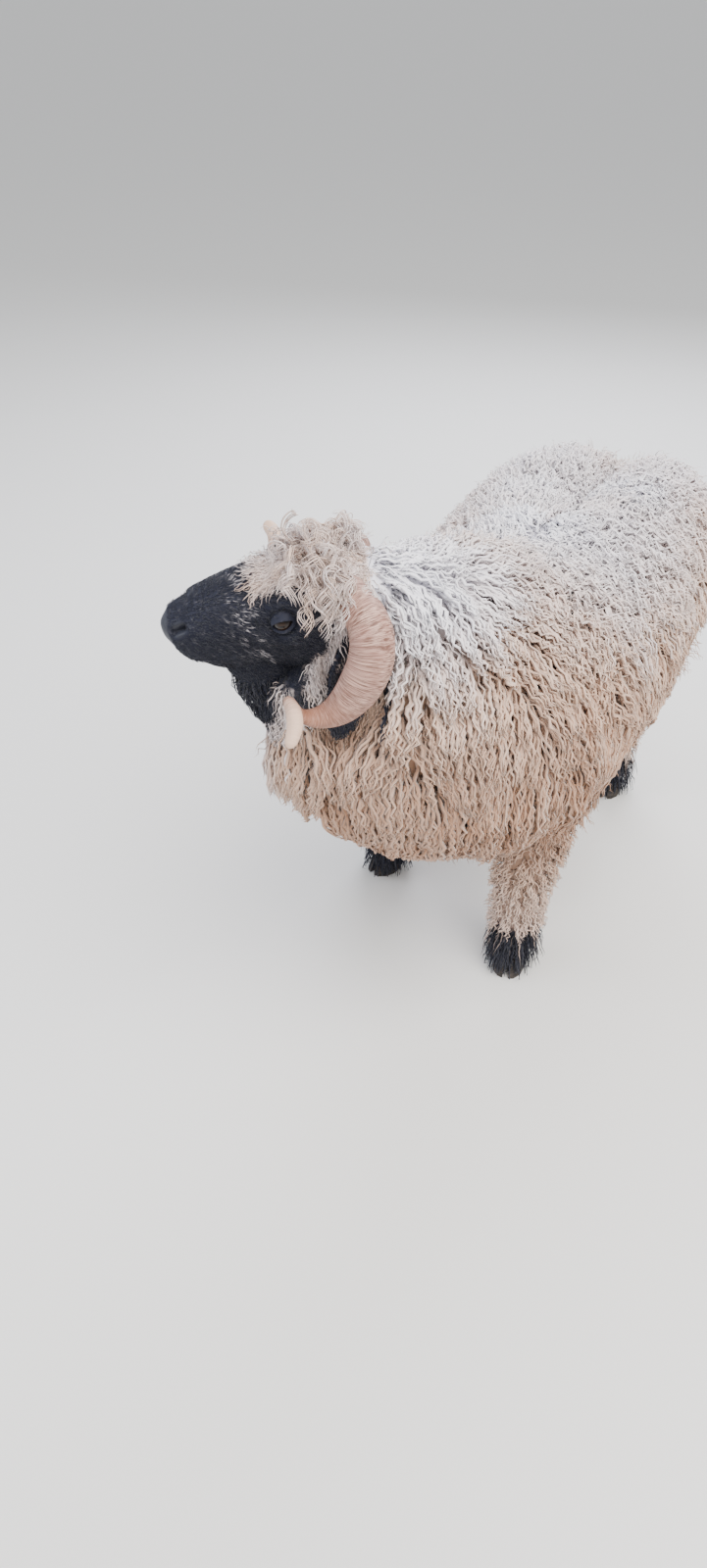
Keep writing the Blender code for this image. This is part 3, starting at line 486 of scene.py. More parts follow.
def facePush(local):
    # How far the face forms move the skin out, for points given in the head's frame
    forward, aside, up = local.T
    push = np.zeros(len(local))
    for centre, reach, height in faceForms:
        push += hump(local, centre, reach) * height
    # The line of the mouth, with the lower lip set back under it
    line = mouthForm["height"] - mouthForm["fall"] * (mouthForm["front"] - forward)
    corner, soft = mouthForm["corner"], mouthForm["cornerSoft"]
    ahead = smoothStep(corner - soft, corner + soft, forward)
    off = up - line
    push -= mouthForm["depth"] * ahead * np.exp(-(off / mouthForm["reach"]) ** 2)
    push -= (mouthForm["lowerSetBack"] * ahead * smoothStep(0.004, -0.006, off)
             * smoothStep(-0.050, -0.025, off))
    push += mouthForm["upperSwell"] * ahead * np.exp(-((off - 0.006) / 0.004) ** 2)
    # The cleft of the upper lip
    cleft = smoothStep(0.262, 0.270, forward) * smoothStep(-0.040, -0.034, up)
    push -= (mouthForm["cleft"] * cleft * smoothStep(0.012, 0.004, up)
             * np.exp(-(aside / mouthForm["cleftWidth"]) ** 2))
    # The slit of each nostril, bent like a comma
    slant = unit(np.array(nostrilForm["slant"]))
    long, wide = nostrilForm["reach"]
    offset = local - np.array(nostrilForm["centre"])
    alongSlit = offset @ slant
    acrossSlit = np.linalg.norm(offset - np.outer(alongSlit, slant), axis=1)
    bend = nostrilForm["bend"] * (alongSlit / long) ** 2
    push -= nostrilForm["depth"] * np.exp(-(alongSlit / long) ** 4
                                          - (np.maximum(acrossSlit - bend, 0) / wide) ** 2)
    # Folds across the bridge behind the nose
    waves = bridgeFold["waves"]
    fold = np.sin(forward * waves[0] + up * waves[1]) * hump(local, bridgeFold["centre"], bridgeFold["reach"])
    return push + bridgeFold["height"] * fold


def shapeLids(points, side, up):
    # Lids: a ring of thicker skin over the eyeball, open in an almond
    way = eyeForm["facing"]
    out = unit(leftWay[None, :] * side[:, None] + forwardWay * way[0] + upWay * way[1])
    along = unit(forwardWay - out * (out @ forwardWay)[:, None])
    upright = np.cross(along, out) * side[:, None]
    upright *= np.sign(upright @ upWay)[:, None]
    forward, left, high = pose["eye"]
    offset = points - np.where(side[:, None] > 0, onHead(forward, left, high), onHead(forward, -left, high))
    a = (offset * along).sum(axis=1)
    b = (offset * upright).sum(axis=1) + eyeForm["slope"] * a
    c = (offset * out).sum(axis=1)
    radial = np.hypot(a, b)
    near = (c > -0.004) & (radial < eyeForm["fade"]) & (up > -0.03) & (up < 0.06)
    almond = np.clip(1 - (a / eyeForm["half"]) ** 2, 0, 1) ** 0.75
    edge = np.where(b > 0, eyeForm["upper"], eyeForm["lower"]) * almond
    ball = eyeForm["radius"]
    lidRadius = ball + eyeForm["lid"]
    lidHeight = np.sqrt(np.maximum(lidRadius ** 2 - radial ** 2, 0.0))
    opening = smoothStep(0.0012, -0.0008, np.abs(b) - edge) * (np.abs(a) < eyeForm["half"])
    rimWidth, above = eyeForm["rimWidth"], eyeForm["creaseAbove"]
    rim = np.exp(-((np.abs(b) - edge - rimWidth) / rimWidth) ** 2) * smoothStep(1.25, 0.9, radial / lidRadius)
    crease = (np.exp(-((b - edge - above) / eyeForm["creaseWidth"]) ** 2) * (b > 0)
              * smoothStep(1.5, 1.0, radial / lidRadius))
    keep = smoothStep(lidRadius * 0.80, eyeForm["fade"], radial)
    target = lidHeight * (1 - keep) + np.maximum(c, lidHeight) * keep
    target = target + eyeForm["rim"] * rim - eyeForm["rim"] * crease
    within = np.sqrt(np.maximum(ball ** 2 - radial ** 2, 0)) + eyeForm["opening"]
    target = target * (1 - opening) + within * opening
    change = np.where(near, target - c, 0.0) * smoothStep(eyeForm["fade"], lidRadius * 1.05, radial)
    return points + out * change[:, None]


def shapeHead(piece):
    points = meshPoints(piece)
    normals = meshNormals(piece)
    local = toHead(points)
    side = np.sign(local[:, 1])
    local[:, 1] = np.abs(local[:, 1])
    onSkull = ((local[:, 2] > skull["lowest"]) & (local[:, 1] < skull["widest"])
               & (np.abs(local[:, 0] - skull["middle"]) < skull["reach"]))
    points += normals * (facePush(local) * onSkull)[:, None]
    setPoints(piece, shapeLids(points, side, local[:, 2]))


def refineNear(piece, centres, reach):
    # Halves the mesh round the eyes and nostrils
    points = meshPoints(piece)
    close = np.zeros(len(points), bool)
    for centre in centres:
        close |= np.linalg.norm(points - centre, axis=1) < reach
    pickOnly(piece)
    bpy.ops.object.mode_set(mode="EDIT")
    bpy.ops.mesh.select_all(action="DESELECT")
    shape = bmesh.from_edit_mesh(piece.data)
    shape.verts.ensure_lookup_table()
    for face in shape.faces:
        face.select_set(all(close[corner.index] for corner in face.verts))
    bmesh.update_edit_mesh(piece.data)
    bpy.ops.mesh.subdivide(number_cuts=1)
    bpy.ops.object.mode_set(mode="OBJECT")


skinPlan = {
    "bodyVoxel": 0.0080, "headVoxel": 0.0021, "unwrapAngle": 75, "unwrapMargin": 0.002,
    "fineSpots": [(pose["eye"][0], 0.062, pose["eye"][2]), (0.262, 0.028, 0.008)], "fineReach": 0.020,
}


def meltTogether(piece, voxel, rounds):
    applyModifier(piece, "REMESH", mode="VOXEL", voxel_size=voxel)
    applyModifier(piece, "SMOOTH", factor=0.5, iterations=rounds)


def makeSkin():
    # The whole skin in one piece, and the points of the two ears
    body = joinPieces([trunkSkin(), neckSkin(), tailSkin()] + [legSkin(name) for name in legShape["paths"]],
                      "bodySkin")
    meltTogether(body, skinPlan["bodyVoxel"], 8)
    ears = [earSkin(1), earSkin(-1)]
    earPoints = [meshPoints(ear) for ear in ears]
    clearEars(body, earPoints)
    applyModifier(body, "SMOOTH", factor=0.5, iterations=3)
    head = joinPieces([headSkin(), throatSkin()] + ears, "headSkin")
    meltTogether(head, skinPlan["headVoxel"], 2)
    spots = [onHead(forward, side * left, up)
             for forward, left, up in skinPlan["fineSpots"] for side in (1, -1)]
    refineNear(head, spots, skinPlan["fineReach"])
    shapeHead(head)
    applyModifier(body, "BOOLEAN", operation="UNION", object=head, solver="MANIFOLD")
    bpy.data.objects.remove(head, do_unlink=True)
    body.name = "skin"
    pickOnly(body)
    bpy.ops.object.shade_smooth()
    bpy.ops.object.mode_set(mode="EDIT")
    bpy.ops.mesh.select_all(action="SELECT")
    bpy.ops.uv.smart_project(angle_limit=math.radians(skinPlan["unwrapAngle"]),
                             island_margin=skinPlan["unwrapMargin"])
    bpy.ops.object.mode_set(mode="OBJECT")
    return body, np.concatenate(earPoints)


skin, earPoints = makeSkin()
earTree = pointTree(earPoints)
print("skin made:", len(skin.data.polygons), "faces")

# Markings, the same for skin and coat

def nearest(path, points):
    # Least distance from points to a path, and how far along it that is
    best = np.full(len(points), 9.0)
    where = np.zeros(len(points))
    for index in range(len(path) - 1):
        start, way = path[index], path[index + 1] - path[index]
        share = np.clip((points - start) @ way / way.dot(way), 0, 1)
        gap = np.linalg.norm(points - start - np.outer(share, way), axis=1)
        where = np.where(gap < best, index + share, where)
        best = np.minimum(best, gap)
    return best, where / (len(path) - 1)


def between(value, low, high):
    return (value > low) & (value < high)


throatRear = {                                # how far back the short hair and the black reach, by height
    "up": (-0.230, -0.205, -0.195, -0.165, -0.139, -0.120, -0.100),
    "hair": (0.250, 0.214, 0.205, 0.185, 0.166, 0.150, 0.138),
    "black": (0.250, 0.214, 0.205, 0.190, 0.175, 0.165, 0.157),
}
hairEdge = {                                  # the short hair's limits, in the head's frame
    "rear": 0.012, "front": 0.30, "side": 0.098,
    "jaw": -0.112, "jawSlope": 0.10, "jawBend": 0.13,     # the jaw line climbs behind the bend
    "throatSide": 0.104, "throatEnd": -0.212, "throatGap": 0.012,
    "stripe": (0.112, 0.16), "stripeEnd": -0.140,
    "height": 0.55,                           # above the floor
}
earSearch = {"forward": (0.0, 0.16), "side": (0.055, 0.12), "up": (-0.21, 0.01), "gap": 0.0042}


def headShare(points):
    # True on the head and throat, False on the neck's wool
    forward, side, up = besideHead(points)
    jawLine = hairEdge["jaw"] - hairEdge["jawSlope"] * np.maximum(0, hairEdge["jawBend"] - forward)
    onSkull = between(forward, hairEdge["rear"], hairEdge["front"])
    onSkull = onSkull & (side < hairEdge["side"]) & (up > jawLine)
    rear = np.interp(up, throatRear["up"], throatRear["hair"]) - hairEdge["throatGap"]
    underJaw = between(forward, rear, hairEdge["front"]) & (up > hairEdge["throatEnd"])
    stripe = between(forward, *hairEdge["stripe"]) & (up > hairEdge["stripeEnd"])
    below = (underJaw | stripe) & (side < hairEdge["throatSide"])
    return (onSkull | below) & (points[:, 2] > stand[2] + hairEdge["height"])


def isEar(points):
    found = np.zeros(len(points), bool)
    forward, side, up = besideHead(points)
    near = (between(forward, *earSearch["forward"]) & between(side, *earSearch["side"])
            & between(up, *earSearch["up"]))
    for index in np.nonzero(near)[0]:
        found[index] = earTree.find(Vector(points[index]))[2] < earSearch["gap"]
    return found


blackShape = {                                # in the head's frame; pairs are the ends of a soft edge
    "coarse": (0.006, 0.012), "fine": (0.004, 0.004),     # height and size of the edges' raggedness
    "muzzle": (0.146, 0.158),
    "patchUp": (-0.125, -0.106, -0.075, -0.047, -0.040, 0.0, 0.03, 0.055),
    "patchRear": (0.140, 0.132, 0.118, 0.104, 0.088, 0.067, 0.064, 0.078),
    "patchTop": (0.056, 0.050), "edge": (-0.004, 0.004),
    "bridge": (0.028, 0.036), "bridgeFrom": -0.010,       # pale between the eye patches
    "throatFrom": -0.104, "throatEnd": (-0.214, -0.204), "throatSide": (0.104, 0.096),
    "stripeRear": (0.116, 0.122), "stripeFront": (0.152, 0.144), "stripeEnd": (-0.132, -0.120),
    "earEdge": (-0.003, 0.003), "earTop": (-0.062, -0.070), "earSide": 0.03,
    "earFront": 0.100, "earSlope": 0.4, "earBend": 0.083,
    "foot": (0.112, 0.100),                   # above the floor
}


def blackAt(points):
    shape = blackShape
    forward, side, up = besideHead(points)
    ragged = (shape["coarse"][0] * roughness(points, shape["coarse"][1])
              + shape["fine"][0] * roughness(points, shape["fine"][1], 3))
    muzzle = smoothStep(*shape["muzzle"], forward + ragged)
    rear = np.interp(up, shape["patchUp"], shape["patchRear"])
    patch = smoothStep(*shape["edge"], forward - rear + ragged) * smoothStep(*shape["patchTop"], up + ragged)
    patch *= np.where(up > shape["bridgeFrom"], smoothStep(*shape["bridge"], side + ragged), 1)
    throatEdge = np.interp(up, throatRear["up"], throatRear["black"])
    throat = smoothStep(*shape["edge"], forward - throatEdge + ragged)
    throat *= smoothStep(*shape["throatEnd"], up + ragged) * smoothStep(*shape["throatSide"], side)
    stripe = (smoothStep(*shape["stripeRear"], forward + ragged)
              * smoothStep(*shape["stripeFront"], forward + ragged))
    stripe *= smoothStep(*shape["stripeEnd"], up + ragged)
    black = np.where(up < shape["throatFrom"], np.maximum(throat, stripe), np.maximum(muzzle, patch))
    # Dark round the root of the ear
    front = shape["earFront"] - shape["earSlope"] * (up + shape["earBend"])
    behind = smoothStep(*shape["earEdge"], front - forward + ragged)
    behind *= smoothStep(*shape["earTop"], up + ragged) * (side > shape["earSide"])
    black = np.maximum(black, behind) * headShare(points)
    black = np.where(isEar(points), 1.0, black)
    return np.maximum(black, smoothStep(*shape["foot"], points[:, 2] - stand[2] + 2 * ragged))


greyShape = {
    "band": (0.174, 0.017), "bandEnd": (-0.07, -0.03), "bandTop": 0.06,      # middle and width, then up
    "flecks": (0.12, 0.42), "fleckSize": 0.0045, "fleckStretch": (1, 1, 0.6),
    "line": (0.171, 0.0034), "lineSlope": 0.26, "lineFrom": 0.036, "lineUp": (-0.16, -0.030),
    "lineSide": 0.03, "lineShare": 0.9,
    "loose": (0.25, 0.55), "looseSize": 0.006, "looseShare": 0.20, "looseFrom": (0.12, -0.06),
}


def greyAt(points):
    # Flecks between the muzzle and the eye patch, and a few loose ones round the patch
    shape = greyShape
    forward, side, up = besideHead(points)
    middle, width = shape["band"]
    band = np.exp(-((forward - middle) / width) ** 2) * smoothStep(*shape["bandEnd"], up)
    band = band * (up < shape["bandTop"])
    stretched = points * np.array(shape["fleckStretch"])
    flecks = smoothStep(*shape["flecks"], roughness(stretched, shape["fleckSize"], 7))
    # A thin grey line runs on from the flecks over the cheek to the tip of the horn
    middle, width = shape["line"]
    line = np.exp(-((forward - middle - (up + shape["lineFrom"]) * shape["lineSlope"]) / width) ** 2)
    line = line * between(up, *shape["lineUp"]) * (side > shape["lineSide"])
    loose = shape["looseShare"] * smoothStep(*shape["loose"], roughness(points, shape["looseSize"], 21))
    loose = loose * (forward > shape["looseFrom"][0]) * (up > shape["looseFrom"][1])
    return np.clip(band * flecks + shape["lineShare"] * line + loose, 0, 1) * headShare(points)


leatherShape = {"front": (0.267, 0.273), "lip": (-0.020, -0.012), "rim": (0.0115, 0.0085),
                "stretch": (0.8, 1, 1)}


def leatherAt(points):
    # The bare moist skin between and round the nostrils
    forward, side, up = besideHead(points)
    front = smoothStep(*leatherShape["front"], forward)
    offset = np.stack((forward, side, up), axis=1) - np.array(nostrilForm["centre"])
    reach = np.linalg.norm(offset * np.array(leatherShape["stretch"]), axis=1)
    return np.maximum(front * smoothStep(*leatherShape["lip"], up), smoothStep(*leatherShape["rim"], reach))


warmShape = {                                 # 0 is the cool white of the back, 1 the tan of the fringe, painted darker than its stain as shade on the lower flank and chest
    "heights": (0.36, 0.44, 0.52, 0.60, 0.68, 0.73, 0.77),
    "shares": (0.78, 0.86, 0.76, 0.58, 0.36, 0.18, 0.02),
    "legHeights": (0.10, 0.22, 0.34), "legShares": (0.42, 0.46, 0.74),
    "fore": 0.085, "foreEdge": (-0.24, -0.38),            # warm wool reaches higher on the shoulder
    "wander": 0.04, "wanderSize": 0.12, "mottle": (0.04, 0.12), "mottleSize": 0.030,
    "bib": ((0.215, 0, -0.225), (0.055, 0.090, 0.070)), "bibPaler": 0.75,
    "head": (0.28, 0.12), "topknot": (0.32, 0.24), "patchSize": 0.02,
    "topknotFrom": (-0.02, 0.02), "topknotSide": 0.09,
}


def warmAt(points):
    shape = warmShape
    own = points - stand
    height = own[:, 2]
    fore = shape["fore"] * smoothStep(*shape["foreEdge"], own[:, 1])
    wander = shape["wander"] * roughness(points, shape["wanderSize"], 5)
    warm = np.interp(height - fore + wander, shape["heights"], shape["shares"])
    least, more = shape["mottle"]
    warm = warm + (least + more * np.clip(warm, 0, 1)) * roughness(points, shape["mottleSize"], 6)
    legs = np.interp(height, shape["legHeights"], shape["legShares"])
    warm = np.where(height < shape["legHeights"][-1], legs, warm)
    local = toHead(points)
    warm = warm * (1 - shape["bibPaler"] * hump(local, *shape["bib"]))
    forward, side, up = besideHead(points)
    isTopknot = ((forward > shape["topknotFrom"][0]) & (up > shape["topknotFrom"][1])
                 & (side < shape["topknotSide"]))
    patches = roughness(points, shape["patchSize"])
    warm = np.where(headShare(points), shape["head"][0] + shape["head"][1] * patches, warm)
    return np.where(isTopknot, shape["topknot"][0] + shape["topknot"][1] * patches, warm)


def storeNumber(piece, name, values):
    layer = piece.data.attributes.new(name, "FLOAT", "POINT")
    layer.data.foreach_set("value", np.asarray(values, np.float32))


skinPoints = meshPoints(skin)
storeNumber(skin, "black", blackAt(skinPoints))
storeNumber(skin, "grey", greyAt(skinPoints))
storeNumber(skin, "warm", warmAt(skinPoints))
storeNumber(skin, "onHead", headShare(skinPoints) | isEar(skinPoints))
storeNumber(skin, "leather", leatherAt(skinPoints))

# Roots are sown on the skin's triangles, and each keeps its place on the skin's unwrap

skin.data.calc_loop_triangles()
triangleCount = len(skin.data.loop_triangles)
triangleCorners = np.zeros(triangleCount * 3, np.int32)
triangleLoops = np.zeros(triangleCount * 3, np.int32)
skin.data.loop_triangles.foreach_get("vertices", triangleCorners)
skin.data.loop_triangles.foreach_get("loops", triangleLoops)
triangleCorners = triangleCorners.reshape(-1, 3)
skinUv = np.zeros(len(skin.data.loops) * 2, np.float32)
skin.data.uv_layers.active.data.foreach_get("uv", skinUv)
triangleUv = skinUv.reshape(-1, 2)[triangleLoops].reshape(-1, 3, 2)
triangleCo = skinPoints[triangleCorners]
triangleNormal = meshNormals(skin)[triangleCorners]
firstEdge, otherEdge = triangleCo[:, 1] - triangleCo[:, 0], triangleCo[:, 2] - triangleCo[:, 0]
triangleArea = np.linalg.norm(np.cross(firstEdge, otherEdge), axis=1) / 2
triangleMiddle = triangleCo.mean(axis=1)
skinTree = BVHTree.FromPolygons([Vector(point) for point in skinPoints], triangleCorners.tolist())

regionShape = {
    "neck": (0.33, 0.35, 0.58),               # place along Y, slope and height of the line behind the neck
    "legReach": 0.075, "legTop": 0.355, "legRagged": 0.03, "legFrom": 0.22,
    "tailReach": 0.034, "tailFrom": 0.375, "footTop": 0.104,
}


def pathPoints(rows):
    return np.array([onSheep(row[:3]) for row in rows])


def regionOf(points):
    # Which part of the body each point belongs to
    shape = regionShape
    region = np.full(len(points), "trunk", object)
    own = points - stand
    behind, slope, middle = shape["neck"]
    region[(own[:, 1] + behind + slope * (own[:, 2] - middle) < 0)] = "neck"
    legTop = shape["legTop"] + shape["legRagged"] * roughness(points, 0.02, 31)
    for path in legShape["paths"].values():
        gap, share = nearest(pathPoints(path), points)
        region[(gap < shape["legReach"]) & (own[:, 2] < legTop) & (share > shape["legFrom"])] = "leg"
    gap = nearest(pathPoints(tailShape["path"]), points)[0]
    region[(gap < shape["tailReach"]) & (own[:, 1] > shape["tailFrom"])] = "tail"
    region[own[:, 2] < shape["footTop"]] = "foot"
    region[headShare(points)] = "head"
    region[isEar(points)] = "ear"
    return region


triangleRegion = regionOf(triangleMiddle)
triangleBlack = blackAt(triangleMiddle)
print("regions:", {name: round(float(triangleArea[triangleRegion == name].sum()), 3)
                   for name in sorted(set(triangleRegion))})

sowing = {"tries": 2.2, "spacing": 0.72}      # tries for each root, and least gap as a share of the mean one
cellSteps = [(x, y, z) for x in (-1, 0, 1) for y in (-1, 0, 1) for z in (-1, 0, 1)]


def isCrowded(place, cell, taken, gap):
    for x, y, z in cellSteps:
        for other in taken.get((cell[0] + x, cell[1] + y, cell[2] + z), ()):
            offset = other - place
            if offset.dot(offset) < gap * gap:
                return True
    return False


def sowRoots(mask, perSquareMetre):
    area = triangleArea * mask
    wanted = int(area.sum() * perSquareMetre)
    tries = int(wanted * sowing["tries"])
    chosen = np.searchsorted(np.cumsum(area), draw.random(tries) * area.sum())
    chosen = np.minimum(chosen, len(area) - 1)
    a, b = draw.random(tries), draw.random(tries)
    flip = a + b > 1
    a[flip], b[flip] = 1 - a[flip], 1 - b[flip]
    weight = np.stack((1 - a - b, a, b), axis=1)[:, :, None]
    places = (triangleCo[chosen] * weight).sum(axis=1)
    gap = sowing["spacing"] / math.sqrt(perSquareMetre)
    kept = []
    taken = {}
    for index, place in enumerate(places):
        cell = tuple((place // gap).astype(int))
        if not isCrowded(place, cell, taken, gap):
            taken.setdefault(cell, []).append(place)
            kept.append(index)
        if len(kept) >= wanted:
            break
    kept = np.array(kept)
    return {
        "place": places[kept],
        "normal": unit((triangleNormal[chosen[kept]] * weight[kept]).sum(axis=1)),
        "uv": (triangleUv[chosen[kept]] * weight[kept]).sum(axis=1),
    }


def skinBelow(points):
    # Nearest place on the skin and the way out of it, for each point
    places = np.empty_like(points)
    outs = np.empty_like(points)
    for index, point in enumerate(points):
        place, normal, face, gap = skinTree.find_nearest(Vector(point))
        way = point - np.array(place)
        outs[index] = normal
        if gap > 0.003 and way.dot(outs[index]) > 0:
            outs[index] = way / gap
        places[index] = place
    return places, outs


def nodeTree(names):
    points, faces = [], []
    for name in names:
        start = len(points)
        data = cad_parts[name].data
        points += [vertex.co.copy() for vertex in data.vertices]
        faces += [[corner + start for corner in face.vertices] for face in data.polygons]
    return BVHTree.FromPolygons(points, faces)


hoofNames = ("fore_hoof_left", "fore_hoof_right", "hind_hoof_left", "hind_hoof_right")
hornTree = nodeTree(("horn_left", "horn_right"))
hoofTree = nodeTree(hoofNames)
clearance = {
    "search": 0.05, "deepest": -0.045,        # points deeper inside than this are left alone
    "hornsAround": (0.07, 0, -0.03), "hornsReach": 0.28, "hoofTop": 0.075,
    "ear": {"forward": (0.0, 0.16), "side": 0.055, "up": (-0.22, 0.0), "inside": -0.003},
}


def clearOf(tree, near, points, gap):
    # Pushes wool out of horns or hooves
    for index in np.nonzero(near)[0]:
        place, normal, face, distance = tree.find_nearest(Vector(points[index]), clearance["search"])
        if place is None:
            continue
        height = (points[index] - np.array(place)).dot(normal)
        if clearance["deepest"] < height < gap:
            points[index] += np.array(normal) * (gap - height)
    return points


def clearOfHorns(path, gap):
    flat = path.reshape(-1, 3)
    near = np.linalg.norm(flat - onHead(*clearance["hornsAround"]), axis=1) < clearance["hornsReach"]
    return clearOf(hornTree, near, flat, gap).reshape(path.shape)


def offEars(path, reach):
    # False for locks that would lie over the outside of an ear
    zone = clearance["ear"]
    keep = np.ones(len(path), bool)
    flat = path.reshape(-1, 3)
    hand = np.sign(toHead(flat)[:, 1])
    forward, side, up = besideHead(flat)
    near = (side > zone["side"]) & between(up, *zone["up"]) & between(forward, *zone["forward"])
    for index in np.nonzero(near)[0]:
        place, number, gap = earTree.find(Vector(flat[index]))
        outward = (flat[index] - np.array(place)).dot(leftWay) * hand[index]
        if gap < reach and outward > zone["inside"]:
            keep[index // path.shape[1]] = False
    return keep


def growLocks(roots, plan, lie):
    # Lets each lock leave the skin and follow its lie, never nearer to the skin than its layer
    count = len(roots["place"])
    steps = plan["steps"]
    length = plan["length"] * (1 + plan["vary"] * draw.uniform(-1, 1, count))
    if "lengthAt" in plan:
        length = length * plan["lengthAt"](roots["place"])
    depth = plan["depth"] * (1 + 0.18 * draw.uniform(-1, 1, count)
                             + plan["lumps"] * roughness(roots["place"], 0.055, 2))
    if "depthAt" in plan:
        depth = depth * plan["depthAt"](roots["place"])
    stiff, lift = plan["stiff"], plan["lift"]
    place = roots["place"] - roots["normal"] * rootDepth
    ahead = unit(roots["normal"] + plan["scatter"] * draw.normal(size=(count, 3)))
    out = roots["normal"]
    path = np.empty((count, steps, 3))
    outs = np.empty((count, steps, 3))
    path[:, 0], outs[:, 0] = place, out
    for step in range(1, steps):
        share = step / (steps - 1)
        ahead = unit(ahead * stiff + lie(place, out) * (1 - stiff))
        moved = place + ahead * (length / (steps - 1))[:, None]
        below, out = skinBelow(moved)
        height = ((moved - below) * out).sum(axis=1)
        least = depth * min(1.0, lift * share + (1 - lift) * share ** 0.5)
        height = np.clip(height, least, np.maximum(depth + plan["slack"], least))
        moved = below + out * height[:, None]
        ahead = unit(moved - place)
        place = moved
        path[:, step], outs[:, step] = place, out
    return path, outs, length


def gather(path, every, pull):
    # Draws locks together into bunches, as wool parts into staples
    count, steps = path.shape[:2]
    leaders = np.arange(0, count, every)
    tree = path[leaders, steps // 2]
    nearestLeader = np.empty(count, int)
    for index in range(count):
        gaps = ((tree - path[index, steps // 2]) ** 2).sum(axis=1)
        nearestLeader[index] = leaders[gaps.argmin()]
    share = np.linspace(0, 1, steps)[None, :, None]
    return path + (path[nearestLeader] - path) * pull * share ** 1.3


def acrossPath(path, outs):
    # Sideways and outwards, square to each path
    tangent = unit(np.gradient(path, axis=1))
    side = unit(np.cross(tangent, outs))
    return side, np.cross(side, tangent)


def waveLocks(path, outs, length, plan):
    count, steps = path.shape[:2]
    wavelength = plan["wavelength"] * draw.uniform(0.8, 1.25, (count, 1))
    if "curlAt" in plan:
        wavelength = wavelength * plan["curlAt"](path[:, 0])[:, None]
    side, out = acrossPath(path, outs)
    share = np.linspace(0, 1, steps)[None, :]
    phase = draw.uniform(0, 2 * np.pi, (count, 1))
    turns = length[:, None] * share / wavelength
    swing = plan["wave"] * draw.uniform(0.6, 1.3, (count, 1)) * np.minimum(1, share * 4)
    angle = 2 * np.pi * turns + phase
    return (path + side * (swing * np.sin(angle))[:, :, None]
            + out * (plan["helix"] * swing * np.cos(angle))[:, :, None])


def lockMesh(path, outs, plan, roots):
    # Three-sided tapered locks: a point at the root, rings, and a point at the tip
    count, steps = path.shape[:2]
    side, out = acrossPath(path, outs)
    turn = draw.uniform(-0.6, 0.6, (count, 1, 1))
    side, out = side * np.cos(turn) + out * np.sin(turn), out * np.cos(turn) - side * np.sin(turn)
    share = np.linspace(0, 1, steps)
    profile = np.interp(share, *plan["profile"])
    width = plan["width"] * draw.uniform(0.75, 1.25, (count, 1)) * profile[None, :]
    half = (width / 2)[:, :, None]
    thick = half * plan["flat"]
    rings = np.stack((path - side * half - out * thick * 0.5, path + side * half - out * thick * 0.5,
                      path + out * thick), axis=2)
    points = np.concatenate((path[:, :1], rings[:, 1:-1].reshape(count, -1, 3), path[:, -1:]), axis=1)
    perLock = points.shape[1]
    pairs = ((0, 1), (1, 2), (2, 0))
    faces = [[1 + after, 1 + corner, 0] for corner, after in pairs]
    for base in range(1, 1 + (steps - 3) * 3, 3):
        faces += [[base + after, base + corner, base + 3 + corner, base + 3 + after]
                  for corner, after in pairs]
    base = 1 + (steps - 3) * 3
    faces += [[base + after, base + corner, perLock - 1] for corner, after in pairs]
    pattern = np.array([corner for face in faces for corner in face])
    along = np.concatenate(([0.0], np.repeat(share[1:-1], 3), [1.0]))
    across = np.concatenate(([0.5], np.tile((0.0, 1.0, 0.5), steps - 2), [0.5]))
    return {
        "points": points.reshape(-1, 3),
        "corners": (pattern[None, :] + (np.arange(count) * perLock)[:, None]).ravel(),
        "sizes": np.tile([len(face) for face in faces], count),
        "along": np.tile(along, count), "across": np.tile(across, count),
        "shade": np.repeat(draw.uniform(0, 1, count), perLock),
        "roots": np.repeat(np.arange(count), perLock),
        "uv": roots["uv"], "place": roots["place"], "length": plan["length"],
    }


rootDepth = 0.002                             # each lock starts this far under the skin
unwrapPlan = {
    "patch": 0.003,                           # each lock's share of the bake, round its root's place
    "shift": 0.37, "perMetre": 100,           # the strand map: lock widths across and centimetres along
}


def coatObject(name, locks, material, marked):
    place, roots, corners, sizes = (locks[key] for key in ("place", "roots", "corners", "sizes"))
    black = blackAt(place) * marked
    grey = greyAt(place)
    grey = grey * (draw.random(len(grey)) < 0.25 + 0.5 * grey)
    numbers = {"along": locks["along"], "shade": locks["shade"], "black": black[roots], "grey": grey[roots],
               "warm": warmAt(place)[roots]}
    patch = np.stack((locks["across"] - 0.5, locks["along"] - 0.5), axis=1) * unwrapPlan["patch"]
    strand = np.stack((locks["across"] + roots * unwrapPlan["shift"],
                       locks["along"] * locks["length"] * unwrapPlan["perMetre"]), axis=1)
    mesh = bpy.data.meshes.new(name)
    mesh.vertices.add(len(locks["points"]))
    mesh.vertices.foreach_set("co", locks["points"].astype(np.float32).ravel())
    mesh.loops.add(len(corners))
    mesh.loops.foreach_set("vertex_index", corners.astype(np.int32))
    mesh.polygons.add(len(sizes))
    mesh.polygons.foreach_set("loop_start", np.concatenate(([0], np.cumsum(sizes)[:-1])).astype(np.int32))
    mesh.polygons.foreach_set("loop_total", sizes.astype(np.int32))
    mesh.update(calc_edges=True)
    mesh.polygons.foreach_set("use_smooth", np.ones(len(sizes), bool))
    for layerName, places in (("OFBake", locks["uv"][roots] + patch), ("strand", strand)):
        layer = mesh.uv_layers.new(name=layerName)
        layer.data.foreach_set("uv", places[corners].astype(np.float32).ravel())
    piece = bpy.data.objects.new(name, mesh)
    bpy.context.scene.collection.objects.link(piece)
    for layerName, values in numbers.items():
        storeNumber(piece, layerName, values)
    mesh.materials.append(material)
    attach(piece, "root")
    print(name, int((sizes - 2).sum()), "triangles")


